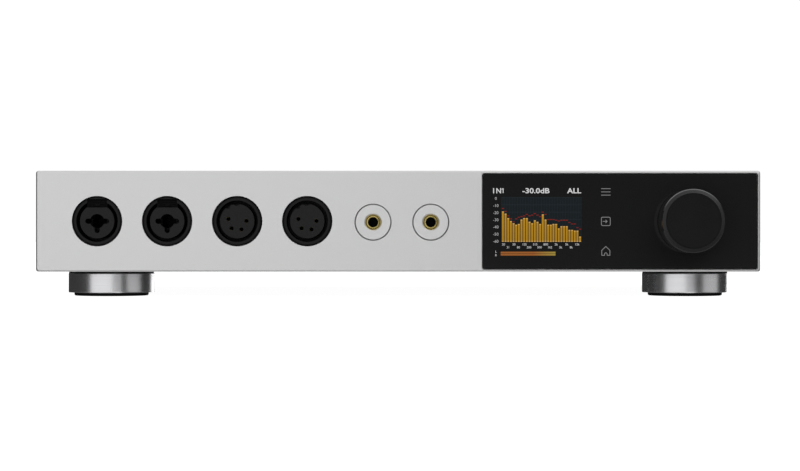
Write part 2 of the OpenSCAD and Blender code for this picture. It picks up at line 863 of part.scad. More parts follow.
// Where the round phono sockets sit: [world X, height above the middle].
function rca_places() = concat(
    [for (x = rca_x, dz = [rca_dz, -rca_dz]) [x, dz]], [[coax_x, 0]]);

module rca_barrels() {
    outline = [[3.4, -4], [5, -4], [5, 0.02], [7, 0.02], [7, 1.4], [6.4, 2], [4.15, 2],
               [4.15, rca_out - 0.4], [3.75, rca_out], [3.4, rca_out]];
    color("gold") for (p = rca_places())
        rear(p[0], p[1]) rotate_extrude($fn = 72) polygon(outline);
}

module rca_inserts() {
    color("white") for (p = rca_places()) rear(p[0], p[1]) difference() {
        union() {
            rod(3.35, -4, rca_out - 0.6);
            rod(4.9, -14, -4.02);
        }
        rod(1.7, 0, rca_out);
    }
}

module optical_socket() {
    color([0.1, 0.1, 0.1]) rear(optical_x) difference() {
        union() {
            plate(12, 12, 0.5, -rear_depth, 0.1);
            plate(14, 14, 1, 0.02, 1.4);
        }
        block(9.4, 9.4, -11, 2);
        translate([0, 4.1, -1]) rotate([0, 90, 0]) rod(0.55, -5.3, 5.3);
    }
}

// The shutter in the optical socket, on a pin along its top edge.
module optical_shutter() {
    color([0.2, 0.2, 0.2]) rear(optical_x) {
        translate([0, -0.2, 0]) block(9, 8, -1.45, -0.55);
        translate([0, 4.1, -1]) rotate([0, 90, 0]) rod(0.5, -5.2, 5.2);
    }
}

module usb_shell() {
    color("silver") rear(usb_x) difference() {
        plate(12.2, 11, 0.4, -16, 0.8);
        plate(8.8, 8.2, 0.3, -12, 2);
    }
}

module usb_tongue() {
    color("white") rear(usb_x) block(5.6, 3.1, -11.98, -0.8);
}

// ---------- Assembly ----------

front_panel();
fascia_glass();
display_module();
touch_board();
display_board();
bottom_plate();
side_panel(-1);  // side_panel_left
side_panel(1);  // side_panel_right
top_cover();
rear_panel();
front_brackets();
bracket_screws();
case_screws();
foot_shells(front_feet);  // front_foot_shells
foot_shells(rear_feet);  // rear_foot_shells
foot_pads();
foot_spacers();
foot_bolts();
foot_nuts();
for (i = [0, 1]) {
    combo_shell(combo_x[i]);
    combo_insert(combo_x[i]);
    four_pin_shell(four_pin_x[i]);
    four_pin_insert(four_pin_x[i]);
}
socket_contacts();
small_jack_bezels();
small_jack_sleeves();
small_jack_bodies();
headphone_board();
encoder_body();
encoder_nut();
encoder_rotor();
knob_shaft();
knob();
knob_set_screw();
main_board();
board_chips();
filter_capacitors();
transformer();
transformer_clamp();
board_standoffs();
mains_leads();
display_ribbon();
mains_module();
inlet_blades();
fuse_drawer();
power_rocker();
voltage_selector();
voltage_slider();
line_out_shells();
line_out_pins();
rca_barrels();
rca_inserts();
optical_socket();
optical_shutter();
usb_shell();
usb_tongue();
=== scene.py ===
import json
from math import cos, pi, radians, sin, tau

import bmesh
import bpy
from bpy.props import FloatProperty, FloatVectorProperty, IntProperty, PointerProperty, StringProperty
from bpy.types import Operator, Panel, PropertyGroup
from mathutils import Matrix, Vector

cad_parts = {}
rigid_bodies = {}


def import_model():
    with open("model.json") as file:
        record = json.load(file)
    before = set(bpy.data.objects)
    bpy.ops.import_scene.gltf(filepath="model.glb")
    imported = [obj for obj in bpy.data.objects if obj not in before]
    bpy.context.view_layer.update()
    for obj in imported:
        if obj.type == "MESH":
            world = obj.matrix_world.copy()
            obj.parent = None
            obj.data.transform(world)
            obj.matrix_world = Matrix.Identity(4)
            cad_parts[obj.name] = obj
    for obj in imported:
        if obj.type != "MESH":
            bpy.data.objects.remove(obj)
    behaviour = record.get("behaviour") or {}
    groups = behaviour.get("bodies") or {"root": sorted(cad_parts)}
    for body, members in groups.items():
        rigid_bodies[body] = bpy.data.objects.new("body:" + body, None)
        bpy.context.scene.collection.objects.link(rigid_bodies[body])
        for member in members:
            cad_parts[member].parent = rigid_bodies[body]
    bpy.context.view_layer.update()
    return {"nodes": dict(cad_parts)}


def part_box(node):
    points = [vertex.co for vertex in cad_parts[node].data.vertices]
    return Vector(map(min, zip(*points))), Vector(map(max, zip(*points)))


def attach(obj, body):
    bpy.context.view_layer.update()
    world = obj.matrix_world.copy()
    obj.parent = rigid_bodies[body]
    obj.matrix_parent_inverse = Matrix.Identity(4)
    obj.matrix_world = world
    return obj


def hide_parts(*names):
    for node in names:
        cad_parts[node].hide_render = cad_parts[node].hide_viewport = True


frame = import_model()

bl_info = {
    "name": "Desktop headphone amplifier",
    "version": (1, 0, 0),
    "blender": (4, 5, 0),
    "location": "View3D > Sidebar > Amplifier",
    "description": "Finishes, display, knob, feet and fittings of a wide aluminium headphone amplifier",
    "category": "Object",
}

# The frame's reference places, in metres. Every piece is laid out from them.
MM = 0.001
FACE_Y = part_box("front_panel")[0].y
REAR_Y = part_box("rear_panel")[1].y
MID_Z = (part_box("front_panel")[0].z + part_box("front_panel")[1].z) / 2
GLASS_OUT = FACE_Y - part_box("fascia_glass")[0].y
FRONT = Matrix.Translation((0, FACE_Y, MID_Z)) @ Matrix.Rotation(pi / 2, 4, "X")
REAR = Matrix.Translation((0, REAR_Y, MID_Z)) @ Matrix.Rotation(pi, 4, "Z") @ Matrix.Rotation(pi / 2, 4, "X")
FILM = 0.02 * MM


def middle(node):
    """The centre of a CAD node's box."""
    low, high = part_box(node)
    return (low + high) / 2


def on_front(x, up=0.0, out=0.0):
    """A place on the front panel: local X to the right, Y up and Z out towards the user."""
    return FRONT @ Matrix.Translation((x, up, out))


def on_rear(x, up=0.0, out=0.0):
    """A place on the rear panel at world x: local X to the left, Y up and Z out to the rear."""
    return REAR @ Matrix.Translation((-x, up, out))


def tone(red, green, blue):
    """A colour as a screen shows it, 0 to 255, turned to the linear values that shaders use."""
    def linear(value):
        share = value / 255
        return share / 12.92 if share <= 0.04045 else ((share + 0.055) / 1.055) ** 2.4
    return (linear(red), linear(green), linear(blue), 1.0)


def shaded(colour, factor):
    """A lighter or darker version of a colour."""
    return (*[min(1.0, part * factor) for part in tuple(colour)[:3]], 1.0)


# ---------------------------------------------------------------- settings

def length(name, description, default):
    return FloatProperty(name=name, description=description, default=default, unit="LENGTH",
                         subtype="DISTANCE")


def strength(name, description, default):
    return FloatProperty(name=name, description=description, default=default, min=0.0)


def colour(name, description, red, green, blue):
    return FloatVectorProperty(name=name, description=description, subtype="COLOR", size=4,
                               min=0.0, max=1.0, default=tone(red, green, blue))


class AMP_PG_finishes(PropertyGroup):
    """Colours of the metal, plastic and rubber pieces."""

    aluminium: colour("Aluminium", "Anodised case and front panel", 232, 232, 232)
    turned: colour("Turned metal", "Feet", 228, 228, 230)
    black: colour("Black plastic", "Socket shells and rear fittings", 18, 18, 19)
    insert: colour("Dark grey plastic", "Socket inserts", 28, 28, 28)
    glass: colour("Glass", "Back coat of the fascia glass", 32, 32, 32)
    gold: colour("Gold plate", "Jack sleeves, pins and phono barrels", 210, 190, 118)
    nickel: colour("Nickel plate", "Blades and the USB shell", 205, 202, 196)
    steel: colour("Zinc-plated steel", "Brackets, nuts and the encoder", 188, 190, 190)
    board: colour("Main board", "Solder mask of the main board", 22, 74, 48)
    dark_board: colour("Small boards", "Solder mask of the other boards", 24, 26, 34)
    tape: colour("Tape", "Polyester tape round the transformer", 214, 168, 52)


class AMP_PG_display(PropertyGroup):
    """Layout and colours of the picture behind the glass."""

    left: length("Left", "Left edge of the level graph", 49.1 * MM)
    base: length("Base", "Foot of the bars, from the panel's middle", -9.75 * MM)
    width: length("Width", "Width of the level graph", 37.9 * MM)
    height: length("Height", "Height of the level graph", 21.05 * MM)
    caption_size: length("Caption size", "Height of the capitals in the top line", 2.35 * MM)
    caption_base: length("Caption base", "Foot of the top line, from the middle", 13.3 * MM)
    input_name: StringProperty(name="Input", description="Name of the input", default="IN")
    volume_text: StringProperty(name="Volume", description="Volume as shown", default="-30.0dB")
    output_name: StringProperty(name="Output", description="Name of the output", default="ALL")
    bar: colour("Bar", "Level bars", 176, 130, 30)
    bar_tip: colour("Bar tip", "Tops of the level bars", 204, 160, 84)
    peak: colour("Peak", "Peak marks above the bars", 122, 30, 24)
    field: colour("Field", "Back of the graph", 22, 28, 31)
    letters: colour("Letters", "Captions and scales", 214, 214, 214)
    meter_low: colour("Meter start", "Level meter at its left", 150, 80, 38)
    meter_high: colour("Meter end", "Level meter at its right", 154, 136, 60)


class AMP_PG_knob(PropertyGroup):
    """Shape of the volume knob."""

    ring: length("Ring", "Width of the polished ring, across the face", 1.95 * MM)
    ring_drop: length("Ring drop", "How far the ring slopes back", 0.7 * MM)
    edge: length("Edge", "Width of the bright edge outside the ring", 0.42 * MM)
    groove: length("Groove", "Depth of the fine line inside the ring", 0.12 * MM)


class AMP_PG_stage(PropertyGroup):
    """Camera, floor and light."""

    distance: length("Camera distance", "From the front panel to the camera", 1.09)
    height: length("Camera height", "Above the surface that the feet stand on", 29.2 * MM)
    aside: length("Camera aside", "To the right of the middle", 0.9 * MM)
    view_width: length("View width", "Width of the picture at the front panel", 379.7 * MM)
    floor_radius: length("Floor radius", "Radius of the pale floor", 9.0)
    ambient: strength("Ambient", "Grey light from all round at the object's own height", 0.04)
    upper: strength("Upper light", "Light from above", 0.75)
    lower: strength("Lower light", "Light from below, as off the pale floor", 0.14)
    key: strength("Key box", "Soft box in front, to the left", 0.9)
    front_top: strength("Front top box", "Soft box in front, above the camera", 1.75)
    fill: strength("Fill box", "Soft box at the right", 0.5)
    rim: strength("Rear box", "Soft box behind, to the right", 1.6)
    strip: strength("Bevel strip", "Soft strip below the front panel, for its lower bevel", 1.0)


# ---------------------------------------------------------------- materials

def put(tree, socket, value):
    """Sets a socket to a value, or links another node's output to it."""
    if isinstance(value, bpy.types.NodeSocket):
        tree.links.new(value, socket)
    else:
        socket.default_value = value


def add_node(tree, kind, inputs, **settings):
    """Adds a shader node with its settings, its values and its links."""
    made = tree.nodes.new("ShaderNode" + kind)
    for name, value in settings.items():
        setattr(made, name, value)
    for key, value in inputs.items():
        put(tree, made.inputs[key], value)
    return made


def add_ramp(tree, value, stops, interpolation):
    """Adds a colour ramp with stops of (position, colour)."""
    made = add_node(tree, "ValToRGB", {0: value})
    made.color_ramp.interpolation = interpolation
    points = made.color_ramp.elements
    while len(points) < len(stops):
        points.new(0.5)
    for point, (position, shade) in zip(points, stops):
        point.position = position
        point.color = shade
    return made.outputs["Color"]


class Finish:
    """One procedural material, laid out on Object coordinates in metres."""

    def __init__(self, name, **levels):
        self.material = bpy.data.materials.new(name)
        self.material.use_nodes = True
        self.tree = self.material.node_tree
        self.shader = self.tree.nodes["Principled BSDF"]
        self.place = self.node("TexCoord", {}).outputs["Object"]
        for socket, value in levels.items():
            self.shade(socket.replace("_", " "), value)

    def node(self, kind, inputs, **settings):
        return add_node(self.tree, kind, inputs, **settings)

    def shade(self, socket, value):
        put(self.tree, self.shader.inputs[socket], value)

    def spaced(self, scale, offset=(0, 0, 0)):
        """Object coordinates, shifted and then stretched along each axis."""
        moved = self.node("VectorMath", {0: self.place, 1: offset}, operation="ADD")
        return self.node("VectorMath", {0: moved.outputs[0], 1: scale}, operation="MULTIPLY").outputs[0]

    def noise(self, scale, detail=2.0, at=None):
        links = {"Vector": at or self.place, "Scale": scale, "Detail": detail}
        return self.node("TexNoise", links).outputs["Fac"]

    def cells(self, scale, feature="F1"):
        links = {"Vector": self.place, "Scale": scale}
        return self.node("TexVoronoi", links, feature=feature).outputs["Distance"]

    def axis(self, name):
        return self.node("SeparateXYZ", {0: self.place}).outputs[name]

    def sum(self, operation, first, second=0.0):
        return self.node("Math", {0: first, 1: second}, operation=operation).outputs[0]

    def level(self, value, low, high, start=0.0, end=1.0):
        """Carries a value from start..end to low..high."""
        links = {"Value": value, "From Min": start, "From Max": end, "To Min": low, "To Max": high}
        return self.node("MapRange", links).outputs["Result"]

    def ramp(self, value, stops, interpolation="LINEAR"):
        return add_ramp(self.tree, value, stops, interpolation)

    def blend(self, factor, first, second):
        return self.node("Mix", {0: factor, 6: first, 7: second}, data_type="RGBA").outputs[2]

    def bump(self, height, distance):
        links = {"Height": height, "Distance": distance, "Strength": 1.0}
        self.shade("Normal", self.node("Bump", links).outputs["Normal"])


def grained(name, base, roughness, grain=0.25 * MM, depth=0.01 * MM, spread=0.06, vary=0.05, **levels):
    """An even fine grain: blasted metal, moulded plastic, rubber or paint."""
    finish = Finish(name, **levels)
    fine = finish.noise(1 / grain, 3.0)
    broad = finish.noise(18.0, 4.0)
    finish.shade("Base Color", finish.blend(broad, shaded(base, 1 - vary), shaded(base, 1 + vary)))
    mottled = finish.sum("ADD", finish.sum("MULTIPLY", fine, 0.7), finish.sum("MULTIPLY", broad, 0.3))
    finish.shade("Roughness", finish.level(mottled, roughness - spread, roughness + spread))
    finish.bump(fine, depth)
    return finish.material


def turned(name, base, roughness, pitch=0.35 * MM, depth=0.006 * MM, **levels):
    """Fine lathe lines round a vertical axis."""
    finish = Finish(name, Metallic=1.0, **levels)
    lines = finish.noise(1 / pitch, 3.0, finish.spaced((0.004, 0.004, 1.0)))
    broad = finish.noise(30.0, 2.0)
    finish.shade("Base Color", finish.blend(lines, shaded(base, 0.9), shaded(base, 1.06)))
    finish.shade("Roughness", finish.level(broad, roughness - 0.04, roughness + 0.05))
    finish.bump(lines, depth)
    return finish.material


def brushed(name, base, roughness, along, depth=0.004 * MM, **levels):
    """Straight brush lines; along has small values on the axis that the lines follow."""
    finish = Finish(name, **levels)
    lines = finish.noise(5000.0, 2.0, finish.spaced(along))
    broad = finish.noise(25.0, 3.0)
    finish.shade("Base Color", finish.blend(broad, shaded(base, 0.93), shaded(base, 1.04)))
    finish.shade("Roughness", finish.level(lines, roughness - 0.07, roughness + 0.09))
    finish.bump(lines, depth)
    return finish.material


def plated(name, base, roughness, **levels):
    """Bright plating with hairlines and a little tarnish."""
    finish = Finish(name, Metallic=1.0, **levels)
    hairlines = finish.noise(2600.0, 3.0, finish.spaced((1.0, 0.12, 1.0)))
    tarnish = finish.noise(260.0, 4.0)
    finish.shade("Base Color", finish.blend(tarnish, shaded(base, 0.84), shaded(base, 1.06)))
    finish.shade("Roughness", finish.level(hairlines, roughness - 0.05, roughness + 0.1))
    finish.bump(hairlines, 0.002 * MM)
    return finish.material


def circuit(name, mask, copper, pad, pitch=5.0 * MM):
    """Solder mask with copper traces under it, and rows of tinned pads."""
    finish = Finish(name, Roughness=0.32)
    cells = finish.cells(1 / pitch, feature="DISTANCE_TO_EDGE")
    traces = finish.ramp(cells, [(0.0, (1, 1, 1, 1)), (0.05, (1, 1, 1, 1)), (0.08, (0, 0, 0, 1))])
    dots = finish.cells(1 / (1.3 * MM))
    pads = finish.ramp(dots, [(0.0, (1, 1, 1, 1)), (0.16, (1, 1, 1, 1)), (0.2, (0, 0, 0, 1))])
    masked = finish.blend(traces, mask, copper)
    finish.shade("Base Color", finish.blend(pads, masked, pad))
    finish.shade("Metallic", finish.sum("MULTIPLY", pads, 0.9))
    finish.bump(finish.sum("ADD", traces, pads), 0.03 * MM)
    return finish.material


def black_glass(base):
    """Polished glass over a black coat, with the faintest wipe marks."""
    finish = Finish("black glass", IOR=1.5)
    wipes = finish.noise(9.0, 5.0, finish.spaced((1.0, 1.0, 3.0)))
    dust = finish.noise(900.0, 2.0)
    finish.shade("Base Color", finish.blend(wipes, shaded(base, 0.9), shaded(base, 1.1)))
    smudge = finish.sum("ADD", finish.sum("MULTIPLY", wipes, 0.8), finish.sum("MULTIPLY", dust, 0.2))
    finish.shade("Roughness", finish.level(smudge, 0.02, 0.07, 0.3, 0.7))
    return finish.material


def lit(name, low, high, axis, start, end):
    """Light from a display, graded along one axis between two places, with its fine dots."""
    finish = Finish(name, Base_Color=(0.002, 0.002, 0.002, 1.0), Roughness=0.12,
                    Specular_IOR_Level=0.2, Emission_Strength=1.0)
    place = finish.level(finish.axis(axis), 0.0, 1.0, start, end)
    graded = finish.ramp(place, [(0.0, low), (1.0, high)])
    rows = finish.noise(1 / (0.22 * MM), 0.0)
    finish.shade("Emission Color", finish.blend(finish.level(rows, 0.0, 0.35), graded,
                                                shaded(high, 0.75)))
    return finish.material


# ---------------------------------------------------------------- shapes

def add(bm, part, matrix):
    """Places a finished part in its piece, with its faces outwards."""
    bmesh.ops.transform(part, matrix=matrix, verts=part.verts)
    bmesh.ops.recalc_face_normals(part, faces=part.faces)
    mesh = bpy.data.meshes.new("part")
    part.to_mesh(mesh)
    part.free()
    bm.from_mesh(mesh)
    bpy.data.meshes.remove(mesh)


def lathe(bm, profile, matrix, steps=96):
    """Turns a profile of (radius, height) points once round the local Z axis."""
    part = bmesh.new()
    verts = [part.verts.new((radius, 0, height)) for radius, height in profile]
    edges = [part.edges.new(pair) for pair in zip(verts, verts[1:])]
    bmesh.ops.spin(part, geom=verts + edges, cent=(0, 0, 0), axis=(0, 0, 1), angle=tau,
                   steps=steps, use_merge=True)
    bmesh.ops.remove_doubles(part, verts=part.verts, dist=0.001 * MM)
    add(bm, part, matrix)


def arc(centre, radius, first, last, count=6):
    """Points of a round stretch of a profile, between two angles in degrees."""
    step = (last - first) / count
    return [(centre[0] + radius * cos(radians(first + step * i)),
             centre[1] + radius * sin(radians(first + step * i))) for i in range(count + 1)]


def block(bm, size, matrix, edge=0.0, segments=2):
    """A box with rounded edges, centred on X and Y, and standing on local Z = 0."""
    part = bmesh.new()
    bmesh.ops.create_cube(part, size=1.0)
    bmesh.ops.translate(part, vec=(0, 0, 0.5), verts=part.verts)
    bmesh.ops.scale(part, vec=size, verts=part.verts)
    if edge:
        bmesh.ops.bevel(part, geom=part.edges, affect="EDGES", offset=edge, segments=segments,
                        profile=0.5, material=-1)
    add(bm, part, matrix)


def sheet(bm, outline, thickness, matrix):
    """A flat outline of (x, y) points given a thickness along local Z."""
    part = bmesh.new()
    face = part.faces.new([part.verts.new((x, y, 0)) for x, y in outline])
    grown = bmesh.ops.extrude_face_region(part, geom=[face])["geom"]
    bmesh.ops.translate(part, vec=(0, 0, thickness),
                        verts=[g for g in grown if isinstance(g, bmesh.types.BMVert)])
    add(bm, part, matrix)


def stroke(bm, points, width, thickness, matrix):
    """A drawn line: flat bars along a run of points, with round joints."""
    for (x0, y0), (x1, y1) in zip(points, points[1:]):
        run = Vector((x1 - x0, y1 - y0, 0))
        turn = Matrix.Rotation(Vector((1, 0)).angle_signed(Vector((run.x, -run.y))), 4, "Z")
        middle_place = Matrix.Translation(((x0 + x1) / 2, (y0 + y1) / 2, 0)) @ turn
        block(bm, (run.length, width, thickness), matrix @ middle_place)
    for x, y in points:
        lathe(bm, [(0, thickness), (width / 2, thickness), (width / 2, 0), (0, 0)],
              matrix @ Matrix.Translation((x, y, 0)), steps=16)


def lettering(bm, text, capital, matrix, align=0.0, width=None, weight=0.0):
    """Adds letters as thin solids; align is 0 for left, 0.5 for centre and 1 for right."""
    curve = bpy.data.curves.new("lettering", "FONT")
    curve.body = text
    curve.size = capital / 0.69
    curve.extrude = FILM / 2
    curve.offset = weight * capital
    curve.resolution_u = 3
    holder = bpy.data.objects.new("lettering", curve)
    bpy.context.scene.collection.objects.link(holder)
    mesh = bpy.data.meshes.new_from_object(holder.evaluated_get(bpy.context.evaluated_depsgraph_get()))
    part = bmesh.new()
    part.from_mesh(mesh)
    for data in (mesh, holder, curve):
        bpy.data.batch_remove([data])
    left = min(v.co.x for v in part.verts)
    reach = max(v.co.x for v in part.verts) - left
    stretch = (width or reach) / reach
    settle = Matrix.Diagonal((stretch, 1, 1, 1)) @ Matrix.Translation((-left - align * reach, 0, 0))
    add(bm, part, matrix @ settle)


def piece(bm, name, body, material, stands_for=(), smooth=True):
    """Makes the finished object, and sets what it rides on and what it stands for."""
    if not bm.faces:
        raise RuntimeError(f"{name} has no faces")
    bmesh.ops.recalc_face_normals(bm, faces=bm.faces)
    mesh = bpy.data.meshes.new(name)
    bm.to_mesh(mesh)
    bm.free()
    made = bpy.data.objects.new(name, mesh)
    bpy.context.scene.collection.objects.link(made)
    mesh.materials.append(material)
    if smooth:
        mesh.shade_smooth()
        mesh.set_sharp_from_angle(angle=radians(32))
    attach(made, body)
    if stands_for:
        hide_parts(*stands_for)
    return made


def dress(material, *nodes):
    """Gives CAD nodes a material, in place of the plain one that they come with."""
    for node in nodes:
        mesh = frame["nodes"][node].data
        mesh.materials.clear()
        mesh.materials.append(material)


# ---------------------------------------------------------------- case

class AMP_OT_case(Operator):
    """Finishes the case: panels, cover, bottom plate, brackets and screws"""

    bl_idname = "amp.case"
    bl_label = "Case"

    def execute(self, context):
        colours = context.scene.amp_finishes
        dress(grained("satin anodising", colours.aluminium, 0.52, 0.2 * MM, 0.004 * MM, 0.05, 0.012,
                      Metallic=1.0), "front_panel")
        dress(brushed("brushed anodising", shaded(colours.aluminium, 0.95), 0.4, (1.0, 0.02, 1.0),
                      Metallic=1.0), "top_cover", "side_panel_left", "side_panel_right")
        dress(brushed("brushed rear", shaded(colours.aluminium, 0.9), 0.42, (0.02, 1.0, 1.0),
                      Metallic=1.0), "rear_panel")
        # The bottom plate's near-black coat is painted shade: it makes the feet's inner edges mirror a dark
        # underside, standing in for the shade under the case.
        dress(grained("dark underside coat with painted shade", tone(24, 24, 25), 0.6, 0.5 * MM, 0.02 * MM, 0.08, 0.15,
                      Specular_IOR_Level=0.3), "bottom_plate")
        dress(grained("zinc plate", colours.steel, 0.34, 0.8 * MM, 0.004 * MM, 0.1, 0.12,
                      Metallic=1.0),
              "front_brackets", "encoder_nut", "encoder_body", "foot_nuts", "knob_shaft",
              "transformer_clamp")
        dress(plated("black oxide", tone(44, 44, 47), 0.38),
              "case_screws", "bracket_screws", "foot_bolts", "knob_set_screw")
        return {"FINISHED"}


class AMP_OT_feet(Operator):
    """Makes the feet: turned shells with fine grooves, spacers and ribbed rubber pads"""

    bl_idname = "amp.feet"
    bl_label = "Feet"

    def shell(self, bm, x, y, radius, low, high):
        edge = 0.5 * MM
        bore = 4.4 * MM
        floor = 0.8 * MM
        bolt = 2.2 * MM
        seat = 5 * MM
        inner = radius - 2.7 * MM
        height = high - low
        profile = [(bolt, height), (radius - 0.2 * MM, height), (radius - 0.15 * MM, height - 0.03 * MM),
                   (radius, height - edge), (radius, height - 1.2 * edge), (radius, 1.2 * edge),
                   (radius, edge), (radius - 0.09 * MM, 0.03 * MM), (radius - 0.14 * MM, 0),
                   (inner, 0), (inner, floor), (bore, floor), (bore, seat), (bolt, seat),
                   (bolt, height)]
        lathe(bm, profile, Matrix.Translation((x, y, low)), steps=128)

    def pad(self, bm, x, y, radius):
        ridge = 0.25 * MM
        profile = [(0, 0)]
        for share in (0.35, 0.6, 0.82):
            groove = radius * share
            profile += [(groove - 0.6 * MM, 0), (groove - 0.4 * MM, ridge), (groove + 0.4 * MM, ridge),
                        (groove + 0.6 * MM, 0)]
        profile += arc((radius - 0.7 * MM, 0.7 * MM), 0.7 * MM, -90, 0)
        profile += [(radius, 2.3 * MM), (0, 2.3 * MM)]
        lathe(bm, profile, Matrix.Translation((x, y, 0)), steps=96)

    def execute(self, context):
        colours = context.scene.amp_finishes
        metal = turned("turned aluminium", colours.turned, 0.27)
        rubber = grained("pad rubber", tone(10, 10, 10), 0.8, 0.5 * MM, 0.03 * MM, 0.08, 0.15,
                         Specular_IOR_Level=0.15)
        pads = bmesh.new()
        for group, radius in (("front_foot_shells", 20.8 * MM), ("rear_foot_shells", 15.0 * MM)):
            low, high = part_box(group)
            y = (low.y + high.y) / 2
            shells = bmesh.new()
            for x in (low.x + radius, high.x - radius):
                self.shell(shells, x, y, radius, low.z, high.z)
                self.pad(pads, x, y, radius - 2.8 * MM)
            piece(shells, group + "_turned", "chassis", metal, (group,))
        piece(pads, "foot_pads_ribbed", "chassis", rubber, ("foot_pads",))
        dress(rubber, "foot_spacers")
        return {"FINISHED"}


# ---------------------------------------------------------------- fascia

class AMP_OT_fascia(Operator):
    """Finishes the glass and draws the three touch marks on it"""

    bl_idname = "amp.fascia"
    bl_label = "Fascia and touch marks"

    reach = 2.1 * MM

    def mark(self, bm, place, line, points):
        stroke(bm, [(x * self.reach, y * self.reach) for x, y in points], line, FILM, place)

    def menu_mark(self, bm, place, line):
        for row in (0.73, 0.0, -0.73):
            self.mark(bm, place, line, [(-1, row), (1, row)])

    def input_mark(self, bm, place, line):
        corner = 0.28
        outline = []
        for first, (cx, cy) in ((90, (-1, 1)), (180, (-1, -1)), (270, (1, -1)), (0, (1, 1))):
            outline += arc((cx * (1 - corner), cy * (0.95 - corner)), corner, first, first + 90, 3)
        self.mark(bm, place, line, outline + [outline[0]])
        self.mark(bm, place, line, [(-0.62, 0), (0.28, 0)])
        self.mark(bm, place, line, [(-0.02, 0.3), (0.3, 0), (-0.02, -0.3)])

    def home_mark(self, bm, place, line):
        self.mark(bm, place, line, [(-0.3, -1), (-0.92, -1), (-0.92, 0.12), (0, 1), (0.92, 0.12),
                                    (0.92, -1), (0.3, -1)])
        door = [(-0.3, -1)] + arc((0, -0.72), 0.3, 180, 0, 4) + [(0.3, -1)]
        self.mark(bm, place, line, door)

    def execute(self, context):
        colours = context.scene.amp_finishes
        dress(black_glass(colours.glass), "fascia_glass")
        marks = bmesh.new()
        x = middle("touch_board").x
        line = 0.32 * MM
        for make, up in ((self.menu_mark, 13.9), (self.input_mark, -0.1), (self.home_mark, -14.1)):
            make(marks, on_front(x, up * MM, GLASS_OUT), line)
        glow = lit("touch mark light", tone(120, 120, 120), tone(136, 136, 136), "X", -1.0, 1.0)
        piece(marks, "touch_marks", "chassis", glow, smooth=False)
        return {"FINISHED"}


